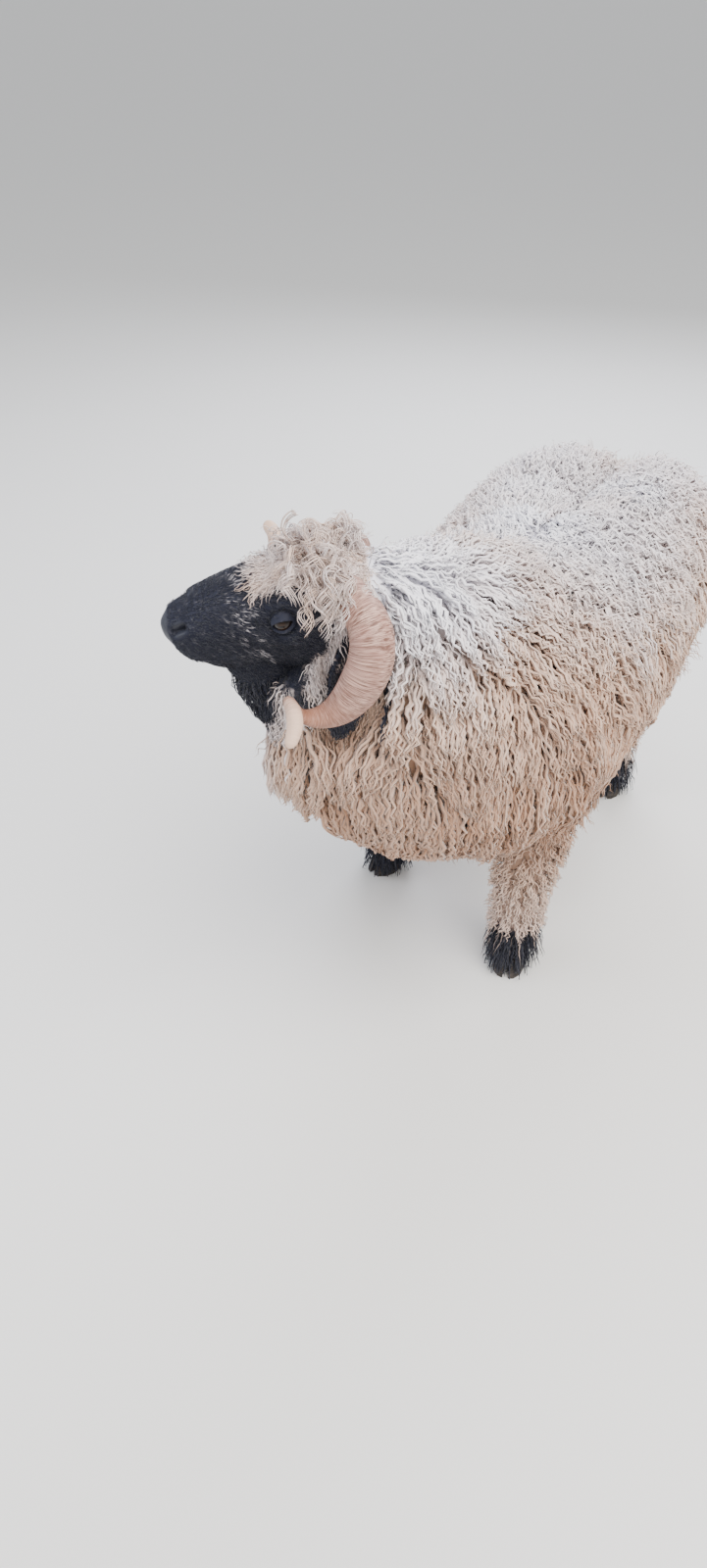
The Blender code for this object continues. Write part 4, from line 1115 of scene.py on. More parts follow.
def growCoat(name, mask, plan, lie, material):
    roots = sowRoots(mask, plan["perSquareMetre"])
    path, outs, length = growLocks(roots, plan, lie)
    for every, pull in plan.get("bunches", ()):
        path = gather(path, every, pull)
    path = waveLocks(path, outs, length, plan)
    if "hornGap" in plan:
        path = clearOfHorns(path, plan["hornGap"])
    if "earGap" in plan:
        keep = offEars(path, plan["earGap"])
        path, outs, roots = path[keep], outs[keep], {key: value[keep] for key, value in roots.items()}
    if "floorGap" in plan:
        path = clearOfFloor(path, plan)
    coatObject(name, lockMesh(path, outs, plan, roots), material, True)

# Materials

def toLinear(hexColour):
    parts = [int(hexColour[start:start + 2], 16) / 255 for start in (1, 3, 5)]
    linear = [part / 12.92 if part <= 0.04045 else ((part + 0.055) / 1.055) ** 2.4 for part in parts]
    return (*linear, 1.0)


def setInputs(tree, node, inputs):
    # Each value is a number, a hex colour or another node's socket
    for key, value in inputs.items():
        if isinstance(value, bpy.types.NodeSocket):
            tree.links.new(value, node.inputs[key])
        elif isinstance(value, str):
            node.inputs[key].default_value = toLinear(value)
        else:
            node.inputs[key].default_value = value


def addNode(tree, kind, settings=None, inputs=None):
    node = tree.nodes.new(kind)
    for key, value in (settings or {}).items():
        setattr(node, key, value)
    setInputs(tree, node, inputs or {})
    return node


def newMaterial(name):
    made = bpy.data.materials.new(name)
    made.use_nodes = True
    return made, made.node_tree, made.node_tree.nodes["Principled BSDF"]


def readMarks(tree, *names):
    return [addNode(tree, "ShaderNodeAttribute", {"attribute_name": name}).outputs["Fac"] for name in names]


def layColours(tree, colour, layers):
    # Each layer: a value, where it starts and ends, how much it covers there, and its colour
    for value, (start, end), (first, last), over in layers:
        cover = addNode(tree, "ShaderNodeMapRange", None, {
            "Value": value, "From Min": start, "From Max": end, "To Min": first, "To Max": last})
        mixed = addNode(tree, "ShaderNodeMix", {"data_type": "RGBA"},
                        {0: cover.outputs["Result"], 6: colour, 7: over})
        colour = mixed.outputs[2]
    return colour


# Crimped wool, as it grows: matt and soft at the edges; painted shade makes it darker in its depth, bluish
# under white wool and browner under tan
woolLook = {
    # shadow and deep are painted shade, bluish on the white wool and brown on the tan
    "white": "#F8F8FE", "cream": "#DFBFA9", "tan": "#AC7B58", "deep": "#80593F", "shadow": "#CAC6D0",
    "blackFur": "#181A28", "greyFur": "#A6A1A4",
    "sheen": (0.35, 0.17),                    # of pale wool, and of black fur, which shines less at its edges
    "fibresAcross": 5.0, "fibreRun": 28.571,  # fibres in the width of a lock, and the run of each in mm
}


def woolColours(tree, fibres=None):
    # With fibres, the colours of the locks; without them, those of the skin. The depth colour is painted
    # shade: locks darken into it towards their roots and in the grooves between their fibres, each a little
    # more at random, and the skin under the wool takes it, less on the head
    full = (0.0, 1.0)
    warm, grey, black = readMarks(tree, "warm", "grey", "black")
    depth = layColours(tree, woolLook["shadow"], [(warm, (0.05, 0.45), full, woolLook["deep"])])
    # The fringe's cream and tan are its real stain, painted darker as shade lower down on the flank and chest
    layers = [(warm, (0.0, 0.5), full, woolLook["cream"]), (warm, (0.5, 1.0), full, woolLook["tan"])]
    if fibres:
        shade, along = readMarks(tree, "shade", "along")
        layers += [(shade, full, (0.0, 0.20), depth), (along, (0.0, 0.50), (0.55, 0.0), depth),
                   (fibres, (0.34, 0.56), (0.30, 0.0), depth)]
        greyShare = full
    else:
        layers += [(readMarks(tree, "onHead")[0], full, (0.60, 0.20), depth)]
        greyShare = (0.0, 0.25)
    pale = layColours(tree, woolLook["white"], layers)
    dark = layColours(tree, woolLook["blackFur"], [(grey, full, greyShare, woolLook["greyFur"])])
    return layColours(tree, pale, [(black, full, full, dark)])


def sheenOf(tree):
    pale, dark = woolLook["sheen"]
    return addNode(tree, "ShaderNodeMapRange", None, {
        "Value": readMarks(tree, "black")[0], "To Min": pale, "To Max": dark}).outputs["Result"]


def woolMaterial(name):
    made, tree, shader = newMaterial(name)
    place = addNode(tree, "ShaderNodeUVMap", {"uv_map": "strand"}).outputs["UV"]
    spread = addNode(tree, "ShaderNodeMapping", None, {
        "Vector": place, "Scale": (woolLook["fibresAcross"], 10 / woolLook["fibreRun"], 1.0)})
    fibres = addNode(tree, "ShaderNodeTexNoise", None, {
        "Vector": spread.outputs["Vector"], "Scale": 1.0, "Detail": 2.0}).outputs["Fac"]
    bump = addNode(tree, "ShaderNodeBump", None, {"Strength": 0.5, "Distance": 0.0012, "Height": fibres})
    setInputs(tree, shader, {
        "Base Color": woolColours(tree, fibres), "Roughness": 0.88, "Specular IOR Level": 0.25,
        "Sheen Weight": sheenOf(tree), "Sheen Roughness": 0.45, "Normal": bump.outputs["Normal"]})
    return made


# Skin under the coat, with the nap of short hair; bare, moist and dark round the nostrils
skinLook = {"leather": "#22232B", "sheenTint": "#9AA4C0", "roughness": (0.72, 0.45),
            "hair": 1.4286, "fold": 8.333}    # spacing in mm, coarser than real hair so that it shows


def skinMaterial():
    made, tree, shader = newMaterial("shortFurSkin")
    leather = readMarks(tree, "leather")[0]
    place = addNode(tree, "ShaderNodeTexCoord").outputs["Object"]
    hairs = addNode(tree, "ShaderNodeTexNoise", None, {
        "Vector": place, "Scale": 1000 / skinLook["hair"], "Detail": 2.0})
    folds = addNode(tree, "ShaderNodeTexNoise", None, {
        "Vector": place, "Scale": 1000 / skinLook["fold"], "Detail": 3.0})
    height = addNode(tree, "ShaderNodeMath", {"operation": "MULTIPLY_ADD"}, {
        0: hairs.outputs["Fac"], 1: 0.5, 2: folds.outputs["Fac"]})
    bump = addNode(tree, "ShaderNodeBump", None, {
        "Strength": 0.45, "Distance": 0.0010, "Height": height.outputs["Value"]})
    dry, moist = skinLook["roughness"]
    rough = addNode(tree, "ShaderNodeMapRange", None, {"Value": leather, "To Min": dry, "To Max": moist})
    # The wool's painted shade darkens the skin under the coat
    colour = layColours(tree, woolColours(tree), [(leather, (0.0, 1.0), (0.0, 1.0), skinLook["leather"])])
    setInputs(tree, shader, {
        "Base Color": colour, "Roughness": rough.outputs["Result"], "Specular IOR Level": 0.30,
        "Sheen Weight": sheenOf(tree), "Sheen Roughness": 0.35, "Sheen Tint": skinLook["sheenTint"],
        "Normal": bump.outputs["Normal"]})
    return made


skin.data.materials.clear()
skin.data.materials.append(skinMaterial())
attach(skin, "root")
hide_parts("torso", "neck", "head", "forelock", "tail", "ear_left", "ear_right", "foreleg_left",
            "foreleg_right", "hindleg_left", "hindleg_right", "fore_pastern_left", "fore_pastern_right",
            "hind_pastern_left", "hind_pastern_right")

# The coat

coatShape = {                                 # pairs are heights above the floor, or places along Y
    "lengths": (0.55, 0.12, 0.53),            # on the back, added on the flank, added on the shoulder
    "flank": (0.78, 0.55), "shoulder": (0.15, -0.30),
    "bellyHeights": (0.34, 0.50), "bellyLengths": (0.42, 1.0),
    "bib": ((0.222, 0, -0.230), (0.050, 0.080, 0.056)), "bibShorter": 0.66, "bibDeeper": 1.5,
    "curls": (0.52, 0.55), "curlHeights": (0.78, 0.60), "curlFore": (0.12, -0.20),
    "belly": (0.52, 0.38), "bellyThinner": 0.35, "tuck": (-0.25, 0.05), "tuckThinner": 0.25,
    "rump": (0.08, 0.28), "rumpThinner": 0.30,
    "folds": 0.45, "foldSize": 0.050, "foldStretch": (1, 1, 0.22), "foldTop": (0.76, 0.62),
    "foldRear": (0.20, -0.05),
    "parting": 0.50, "partingWidth": 0.022, "partingFore": (-0.20, -0.05), "partingAbove": 0.6,
    "legSwell": 0.35, "legMiddle": 0.25, "legReach": 0.07,
}
bodyWay = {
    "aside": 0.9, "back": 0.10, "wander": 0.30, "wanderSize": 0.10,
    "near": (0.10, 0.02), "fore": (-0.35, -0.2), "rear": (0.34, 0.26),     # where the wool leans aside
}


def bodyLie(points, outs):
    # Away from the parting, then down, a little backwards
    own = points - stand
    aside = np.sign(own[:, 0]) * smoothStep(*bodyWay["near"], np.abs(own[:, 0]))
    aside = aside * smoothStep(*bodyWay["fore"], own[:, 1])
    aside *= smoothStep(*bodyWay["rear"], own[:, 1])
    count = len(points)
    way = np.stack((bodyWay["aside"] * aside, np.full(count, bodyWay["back"]), np.full(count, -1.0)), axis=1)
    wander = np.stack([roughness(points, bodyWay["wanderSize"], seed) for seed in (11, 12, 13)], axis=1)
    return unit(way + bodyWay["wander"] * wander)


def coatLengths(points):
    # Short on the back, longest on the shoulder and chest
    shape = coatShape
    own = points - stand
    low = smoothStep(*shape["flank"], own[:, 2])
    ahead = smoothStep(*shape["shoulder"], own[:, 1])
    bib = hump(toHead(points), *shape["bib"])
    back, flank, shoulder = shape["lengths"]
    return ((back + flank * low + shoulder * low * ahead)
            * np.interp(own[:, 2], shape["bellyHeights"], shape["bellyLengths"])
            * (1 - shape["bibShorter"] * bib))


def coatCurls(points):
    # Tight on the back and rump, loose waves on the shoulder and chest
    own = points - stand
    tight, looser = coatShape["curls"]
    return (tight + looser * smoothStep(*coatShape["curlHeights"], own[:, 2])
            * smoothStep(*coatShape["curlFore"], own[:, 1]))


def coatDepths(points):
    # Thin under the chest and the tucked-up flank, full in front of the throat
    shape = coatShape
    own = points - stand
    low = smoothStep(*shape["belly"], own[:, 2])
    rear = smoothStep(*shape["tuck"], own[:, 1])
    rump = smoothStep(*shape["rump"], own[:, 1])
    bib = hump(toHead(points), *shape["bib"])
    folds = roughness(points * np.array(shape["foldStretch"]), shape["foldSize"], 8)
    folds = folds * smoothStep(*shape["foldTop"], own[:, 2])
    folds *= smoothStep(*shape["foldRear"], own[:, 1])
    parting = np.exp(-(own[:, 0] / shape["partingWidth"]) ** 2) * smoothStep(*shape["partingFore"], own[:, 1])
    parting = parting * (own[:, 2] > shape["partingAbove"])
    return (1 - low * (shape["bellyThinner"] + shape["tuckThinner"] * rear) + shape["bibDeeper"] * bib
            + shape["folds"] * folds - shape["rumpThinner"] * rump - shape["parting"] * parting)


def legDepths(points):
    # Fluffiest between knee and elbow
    above = points[:, 2] - stand[2] - coatShape["legMiddle"]
    return 1 + coatShape["legSwell"] * np.exp(-(above / coatShape["legReach"]) ** 2)


def legLie(points, outs):
    return unit(downWay + 0.35 * outs + 0.3 * draw.normal(size=points.shape))


# Lengths are in metres. Stiff is how far a lock keeps its way, scatter how far roots lean, depth the least
# height of its tip over the skin, lift how early it gets there, slack how much higher it may go. Wave, its
# wavelength and helix make the crimp; bunches are their size and pull; gaps keep wool off horns and ears.
lockPlan = {"steps": 7, "lift": 0.6, "helix": 0.7, "flat": 0.6, "vary": 0.3, "lumps": 0.3,
            "profile": ((0, 0.15, 0.5, 0.8, 1), (0.5, 0.85, 1.0, 0.7, 0.15))}
backPlan = dict(lockPlan, perSquareMetre=18000, steps=9, length=0.044, width=0.0048, depth=0.033, stiff=0.66,
                scatter=0.65, lift=0.45, slack=0.009, wave=0.0050, wavelength=0.0185, helix=1.0, flat=0.8,
                lumps=0.22, depthAt=coatDepths, bunches=((42, 0.10), (7, 0.30)), hornGap=0.004)
longPlan = dict(lockPlan, perSquareMetre=14000, steps=11, length=0.100, width=0.0058, depth=0.031, stiff=0.45,
                scatter=0.40, slack=0.008, wave=0.0034, wavelength=0.030, helix=0.6, vary=0.38,
                bunches=((42, 0.34), (7, 0.36)), hornGap=0.004)
flankPlan = dict(longPlan, lengthAt=coatLengths, depthAt=coatDepths, curlAt=coatCurls)
neckPlan = dict(flankPlan, perSquareMetre=16500, length=0.105, width=0.0055, earGap=0.020)
bellyPlan = dict(flankPlan, perSquareMetre=5000, steps=9, length=0.075, bunches=((42, 0.2), (7, 0.3)))
tailPlan = dict(longPlan, perSquareMetre=22000, steps=9, length=0.060, width=0.0052, depth=0.017, scatter=0.6,
                bunches=((42, 0.2), (7, 0.3)))
legPlan = dict(lockPlan, perSquareMetre=24500, length=0.028, width=0.0034, depth=0.019, stiff=0.65,
               scatter=0.9, slack=0.010, wave=0.0028, wavelength=0.013, helix=0.9, flat=0.7, vary=0.35,
               depthAt=legDepths, bunches=((7, 0.30),))
hollowPlan = dict(lockPlan, perSquareMetre=32000, length=0.030, width=0.0036, depth=0.007, stiff=0.4,
                  scatter=0.5, slack=0.003, wave=0.0016, wavelength=0.014, lumps=0.25, hornGap=0.002,
                  earGap=0.0055)
wispPlan = dict(lockPlan, perSquareMetre=2500, length=0.036, width=0.0019, depth=0.033, stiff=0.80,
                scatter=0.6, lift=0.3, slack=0.014, wave=0.0026, wavelength=0.016, helix=1.0, flat=0.8,
                vary=0.4, hornGap=0.004, earGap=0.026)
topEdge = {"slope": 0.55, "ragged": 0.22, "belly": -0.75}     # how far up a triangle faces on back and belly
hollowReach = 0.052                           # round each ear

isTrunk, isNeck, isLeg = (triangleRegion == name for name in ("trunk", "neck", "leg"))
outUp = triangleNormal.mean(axis=1)[:, 2]
onTop = outUp + draw.uniform(-topEdge["ragged"], topEdge["ragged"], len(outUp)) > topEdge["slope"]
under = outUp < topEdge["belly"]
onLeft = triangleMiddle[:, 0] > stand[0]
headForward, headSide, headUp = toHead(triangleMiddle).T
headLeft = headSide > 0
earGap = np.array([earTree.find(Vector(point))[2] for point in triangleMiddle])
woolLocks = woolMaterial("crimpedWool")
woolRegions = {
    "fleeceBack": (isTrunk & onTop, backPlan, bodyLie),
    "fleeceFlankLeft": (isTrunk & ~onTop & ~under & onLeft, flankPlan, bodyLie),
    "fleeceFlankRight": (isTrunk & ~onTop & ~under & ~onLeft, flankPlan, bodyLie),
    "fleeceNeckLeft": (isNeck & headLeft, neckPlan, bodyLie),
    "fleeceNeckRight": (isNeck & ~headLeft, neckPlan, bodyLie),
    "fleeceBelly": (isTrunk & under, bellyPlan, bodyLie),
    "fleeceLegs": (isLeg, legPlan, legLie),
    "fleeceTail": (triangleRegion == "tail", tailPlan, bodyLie),
    "fleeceHollow": (isNeck & (earGap < hollowReach), hollowPlan, bodyLie),      # behind each ear
    "fleeceWisps": (isTrunk | isNeck, wispPlan, bodyLie),                        # soften the fleece's edge
}
for name, (mask, plan, lie) in woolRegions.items():
    growCoat(name, mask, plan, lie, woolLocks)
print("fleece grown")

# Short fur of the face, throat, ears and feet

def faceLie(points, outs):
    # From the nose back over the face, and down the cheeks
    side = np.sign(toHead(points)[:, 1])[:, None]
    return unit(-0.9 * forwardWay - 0.45 * upWay + 0.10 * side * leftWay
                + 0.25 * draw.normal(size=points.shape))


def foreheadLie(points, outs):
    # From the poll towards the nose and down beside the eyes
    side = toHead(points)[:, 1][:, None]
    return unit(0.55 * forwardWay + 14 * side * leftWay - 0.45 * upWay
                + 0.35 * draw.normal(size=points.shape))


def hangLie(points, outs):
    return unit(downWay - 0.2 * forwardWay + 0.25 * draw.normal(size=points.shape))


def footLie(points, outs):
    return unit(downWay + 0.20 * outs + 0.2 * draw.normal(size=points.shape))


bareSpots = {"eye": 0.0165, "eyeOut": 0.008, "nostril": 0.0085}


def awayFromFeatures(points):
    far = np.ones(len(points), bool)
    for side in (1, -1):
        forward, left, up = pose["eye"]
        eye = onHead(forward, side * (left + bareSpots["eyeOut"]), up)
        far &= np.linalg.norm(points - eye, axis=1) > bareSpots["eye"]
        forward, left, up = nostrilForm["centre"]
        far &= np.linalg.norm(points - onHead(forward, side * left, up), axis=1) > bareSpots["nostril"]
    return far


def faceLengths(points):
    return np.interp(toHead(points)[:, 0], (0.10, 0.20, 0.27), (1.3, 0.9, 0.45))


shortFur = dict(lockPlan, perSquareMetre=170000, steps=5, length=0.0085, width=0.0012, depth=0.0016,
                stiff=0.35, scatter=0.3, lift=0.7, slack=0.0012, wave=0.0002, wavelength=0.010, helix=0.5,
                flat=0.5, vary=0.35, lumps=0.2)
facePlan = dict(shortFur, lengthAt=faceLengths)
earPlan = dict(shortFur, perSquareMetre=70000, length=0.015, width=0.0015, depth=0.0022)
longFur = dict(lockPlan, width=0.0012, depth=0.0045, stiff=0.5, scatter=0.40, slack=0.004, wave=0.0012,
               wavelength=0.011, vary=0.6, lumps=0.4)
besideHorns = {"hornGap": 0.001, "earGap": 0.0045}
foreheadPlan = dict(longFur, perSquareMetre=120000, length=0.020, **besideHorns)
cheekPlan = dict(longFur, perSquareMetre=90000, length=0.026, **besideHorns)
throatPlan = dict(longFur, perSquareMetre=70000, length=0.030, width=0.0019, depth=0.0060)
palePlan = dict(throatPlan, perSquareMetre=60000, length=0.028, width=0.0024, depth=0.0110, wave=0.0026,
                wavelength=0.016, scatter=0.7, **besideHorns)
footPlan = dict(lockPlan, perSquareMetre=60000, length=0.050, width=0.0022, depth=0.0070, stiff=0.5,
                scatter=0.5, slack=0.035, wave=0.0012, wavelength=0.014, vary=0.5, hoofGap=0.0025,
                floorGap=0.003, floorNear=0.006, floorSpread=0.012)


def clearOfFloor(path, plan):
    # The feet's fur ends at uneven heights just over the floor
    flat = path.reshape(-1, 3)
    flat = clearOf(hoofTree, flat[:, 2] < clearance["hoofTop"], flat, plan["hoofGap"])
    spread = plan["floorSpread"] * draw.random(len(flat)) * (flat[:, 2] < plan["floorNear"])
    flat[:, 2] = np.maximum(flat[:, 2], plan["floorGap"] + spread)
    return flat.reshape(path.shape)


throatLimit = {"up": -0.098, "forward": 0.235}
isHead, isDark = triangleRegion == "head", triangleBlack > 0.5
isThroat = isHead & (headUp < throatLimit["up"]) & (headForward < throatLimit["forward"])
isFace = isHead & isDark & ~isThroat & awayFromFeatures(triangleMiddle) & (leatherAt(triangleMiddle) < 0.5)
isForehead = isHead & ~isDark & (headUp > 0.0) & ~isThroat
furLocks = woolMaterial("shortFur")
furRegions = {
    "furFaceLeft": (isFace & headLeft, facePlan, faceLie),
    "furFaceRight": (isFace & ~headLeft, facePlan, faceLie),
    "furForehead": (isForehead, foreheadPlan, foreheadLie),
    "furCheeks": (isHead & ~isDark & ~isForehead & ~isThroat, cheekPlan, hangLie),
    "furThroat": (isThroat & isDark, throatPlan, hangLie),
    "furThroatPale": (isThroat & ~isDark, palePlan, hangLie),
    "furEars": (triangleRegion == "ear", earPlan, hangLie),
    "furFeet": (triangleRegion == "foot", footPlan, footLie),
}
for name, (mask, plan, lie) in furRegions.items():
    growCoat(name, mask, plan, lie, furLocks)
print("fur grown")

# The forelock: loose ringlets that rise from the poll and fall over the face and the horns' roots

ringletPlan = {
    "perSquareMetre": 30000, "strands": 6, "steps": 24, "length": 0.064, "width": 0.0014, "flat": 0.8,
    "vary": 0.30, "profile": ((0, 0.1, 0.5, 0.85, 1), (0.7, 1.0, 1.0, 0.7, 0.2)),
    "forward": (0.022, 0.100), "side": 0.046, "above": 0.018,         # where they grow
    "crown": 0.064, "lean": (8, 12), "scatter": 0.28,     # they lean away from the crown, forward and aside
    "rear": (-0.04, -0.005), "rearLengths": (0.55, 1.0), "rise": 0.75,
    "layer": (0.006, 0.018), "hornGap": 0.009,
    "coil": 0.0080, "coilLength": 0.038, "loose": 0.0021,
    # Kept free: the right horn's tip and the left one's crown (forward, left), the eyes (forward, up, aside)
    "hornTip": (0.100, -0.072), "hornCrown": (0.036, -0.01), "eyes": (0.102, 0.042, 0.02), "furthest": 0.128,
}


def isFree(path, plan):
    forward, left, up = np.moveaxis(toHead(path.reshape(-1, 3)).reshape(path.shape), 2, 0)
    tipForward, tipLeft = plan["hornTip"]
    crownForward, crownLeft = plan["hornCrown"]
    eyeForward, eyeUp, eyeAside = plan["eyes"]
    blocked = (forward > tipForward) & (left < tipLeft)
    blocked |= (forward < crownForward) & (left > crownLeft)
    blocked |= (forward > eyeForward) & (up < eyeUp) & (np.abs(left) > eyeAside)
    blocked |= forward >= plan["furthest"]
    return ~blocked.any(axis=1)


def growLeaders(roots, plan):
    # The middle line of each ringlet: up and away from the crown, then down over the head
    count, steps = len(roots["place"]), plan["steps"]
    local = toHead(roots["place"]) - np.array((plan["crown"], 0, 0))
    forward, aside = plan["lean"]
    away = (local[:, :1] * forward * forwardWay + local[:, 1:2] * aside * leftWay
            + plan["scatter"] * draw.normal(size=(count, 3)))
    outer = np.clip(np.linalg.norm(away, axis=1), 0, 1)[:, None]
    length = plan["length"] * (1 + plan["vary"] * draw.uniform(-1, 1, count))
    length = length * np.interp(local[:, 0], plan["rear"], plan["rearLengths"])
    fall = draw.uniform(0.5, 1.2, (count, 1)) * (0.45 + 0.7 * outer)
    ahead = unit(upWay * plan["rise"] + away)
    path = np.empty((count, steps, 3))
    path[:, 0] = roots["place"] - roots["normal"] * rootDepth
    layer = draw.uniform(*plan["layer"], count)
    for step in range(1, steps):
        share = step / (steps - 1)
        pull = fall * (0.16 + 0.45 * share)
        ahead = unit(ahead + downWay * pull + away * 0.08)
        moved = path[:, step - 1] + ahead * (length / (steps - 1))[:, None]
        below, out = skinBelow(moved)
        height = ((moved - below) * out).sum(axis=1)
        path[:, step] = moved + out * np.maximum(0, layer * min(1, share * 3) - height)[:, None]
    return clearOfHorns(path, plan["hornGap"]), length


def growRinglets(roots, plan):
    path, length = growLeaders(roots, plan)
    free = isFree(path, plan)
    path, length, roots = path[free], length[free], {key: value[free] for key, value in roots.items()}
    count = len(path)
    # Each leader becomes a ringlet of strands that share its coil
    many = np.repeat(np.arange(count), plan["strands"])
    path, length = path[many], length[many]
    tangent = unit(np.gradient(path, axis=1))
    first = unit(np.cross(tangent[:, 0], (0.31, 0.52, -0.80)))
    side = np.empty_like(path)
    for step in range(plan["steps"]):
        first = unit(first - tangent[:, step] * (first * tangent[:, step]).sum(axis=1)[:, None])
        side[:, step] = first
    out = np.cross(side, tangent)
    share = np.linspace(0, 1, plan["steps"])[None, :]
    coil = plan["coil"] * draw.uniform(0.55, 1.35, (count, 1))[many] * np.minimum(1, 0.15 + share * 2)
    coil = coil * (1 - 0.35 * share)
    coilLength = plan["coilLength"] * draw.uniform(0.75, 1.35, (count, 1))[many]
    hand = draw.choice((-1, 1), (count, 1))[many]
    phase = draw.uniform(0, 6.28, (count, 1))[many] + 0.28 * draw.normal(size=(len(many), 1))
    angle = hand * 2 * np.pi * length[:, None] * share / coilLength + phase
    path = path + side * (coil * np.cos(angle))[:, :, None] + out * (coil * np.sin(angle))[:, :, None]
    path = path + plan["loose"] * draw.normal(size=(len(many), 1, 3)) * (0.5 + 0.8 * share[:, :, None])
    return path, unit(out + 0.01), {key: value[many] for key, value in roots.items()}


isPoll = (isHead & ~isDark & between(headForward, *ringletPlan["forward"])
          & (np.abs(headSide) < ringletPlan["side"]) & (headUp > ringletPlan["above"]))
roots = sowRoots(isPoll, ringletPlan["perSquareMetre"])
path, outs, roots = growRinglets(roots, ringletPlan)
path = clearOfHorns(path, 0.001)
coatObject("forelockRinglets", lockMesh(path, outs, ringletPlan, roots), woolLocks, False)
print("forelock grown:", len(path), "strands")

# Horns: a tapering curl with rings of growth across it

hornShape = {
    "path": [(0.036, 0.034, 0.012), (0.038, 0.043, 0.013), (0.025, 0.083, -0.001), (0.029, 0.104, -0.025),
             (0.048, 0.115, -0.056), (0.080, 0.120, -0.085), (0.109, 0.125, -0.091), (0.131, 0.130, -0.078),
             (0.1385, 0.138, -0.042), (0.134, 0.160, -0.0355), (0.1355, 0.183, -0.0375),
             (0.145, 0.209, -0.040)],
    "rightCrown": [(0.040, 0.030, 0.004), (0.042, 0.040, 0.004), (0.034, 0.074, -0.010),
                   (0.036, 0.098, -0.032)],
    "across": (0.84, 0.88, 0.95, 1.0, 1.0, 0.80, 0.50, 0.28, 0.27, 0.34, 0.36, 0.26),  # in the curl's plane
    "thick": (0.82, 0.86, 0.90, 0.92, 0.90, 0.80, 0.58, 0.42, 0.34, 0.32, 0.30, 0.24),
    "radius": 0.028, "ringStep": 0.0021, "sides": 36,
    "growth": 0.0130, "depth": 0.00010,       # spacing and depth of the rings of growth
    "fine": 0.0052, "fineDepth": 0.00010,     # and of the finer ones between them
    "tip": 0.010, "tipRings": (0.9, 0.65, 0.45, 0.3, 0.17, 0.08, 0.02, 0.0),    # to round the tip
    "smoothTip": 0.10,                        # the rings of growth fade over this length
}


def hornRows(side):
    # Place, across and thick along the horn, and how far along it each row is
    centres = list(hornShape["path"])
    if side < 0:
        centres[:4] = hornShape["rightCrown"]
    rows = smoothPath([(*point, across, thick) for point, across, thick
                       in zip(centres, hornShape["across"], hornShape["thick"])], 400)
    gaps = np.linalg.norm(np.diff(rows[:, :3], axis=0), axis=1)
    run = np.concatenate(([0], np.cumsum(gaps)))
    where = np.linspace(0, run[-1], int(run[-1] / hornShape["ringStep"]))
    where = np.concatenate((where[:-5], run[-1] - hornShape["tip"] * np.array(hornShape["tipRings"])))
    return np.stack([np.interp(where, run, rows[:, column]) for column in range(5)], axis=1), where, run[-1]


def hornPiece(name, side):
    rows, where, long = hornRows(side)
    left = long - where
    rounding = np.sqrt(np.clip(1 - (1 - np.clip(left / hornShape["tip"], 0, 1)) ** 2, 0.006, 1))
    beat = where / hornShape["growth"] + 0.8 * np.sin(where * 70) + 0.35 * np.sin(where * 190 + 1)
    ridge = np.abs(np.sin(np.pi * beat)) ** 0.6 - 0.6
    fine = np.sin(where * 2 * np.pi / hornShape["fine"] + 3 * np.sin(where * 130))
    swell = (hornShape["depth"] * ridge + hornShape["fineDepth"] * fine)
    swell = swell * np.clip(left / hornShape["smoothTip"], 0.15, 1) * rounding
    path = np.array([onHead(f, side * l, u) for f, l, u in rows[:, :3]])
    radius = hornShape["radius"] * rounding
    rings = tubeRings(path, rows[:, 4] * radius, rows[:, 3] * radius, hornShape["sides"], upWay)
    angle = circleAngles(hornShape["sides"])
    for index, ring in enumerate(rings):
        offset = ring - path[index]
        reach = np.linalg.norm(offset, axis=1)
        wobble = 1 + 0.014 * np.sin(3 * angle + index * 0.05) + 0.010 * np.sin(7 * angle + index * 0.21)
        rings[index] = path[index] + offset * (wobble + swell[index] / reach)[:, None]
    piece = extrudeRings(name, rings)
    pickOnly(piece)
    bpy.ops.object.shade_smooth()
    # Share of the way to the tip, and the run in centimetres, for the colours
    tree = pointTree(path)
    index = np.array([tree.find(Vector(point))[1] for point in meshPoints(piece)])
    storeNumber(piece, "along", where[index] / long)
    storeNumber(piece, "run", where[index] * 100)
    return piece


# Horn keratin, grown in rings: satin, pale brown with dark lines across it and a creamy tip
hornLook = {
    "dark": "#5E3C30", "pale": "#C8A292", "blotch": "#9A6F62", "rim": "#8A583F", "tip": "#E2BFA6",
    "line": 0.909, "wander": 11.765, "patch": 22.22,      # mm between lines, their waver, and blotches
}


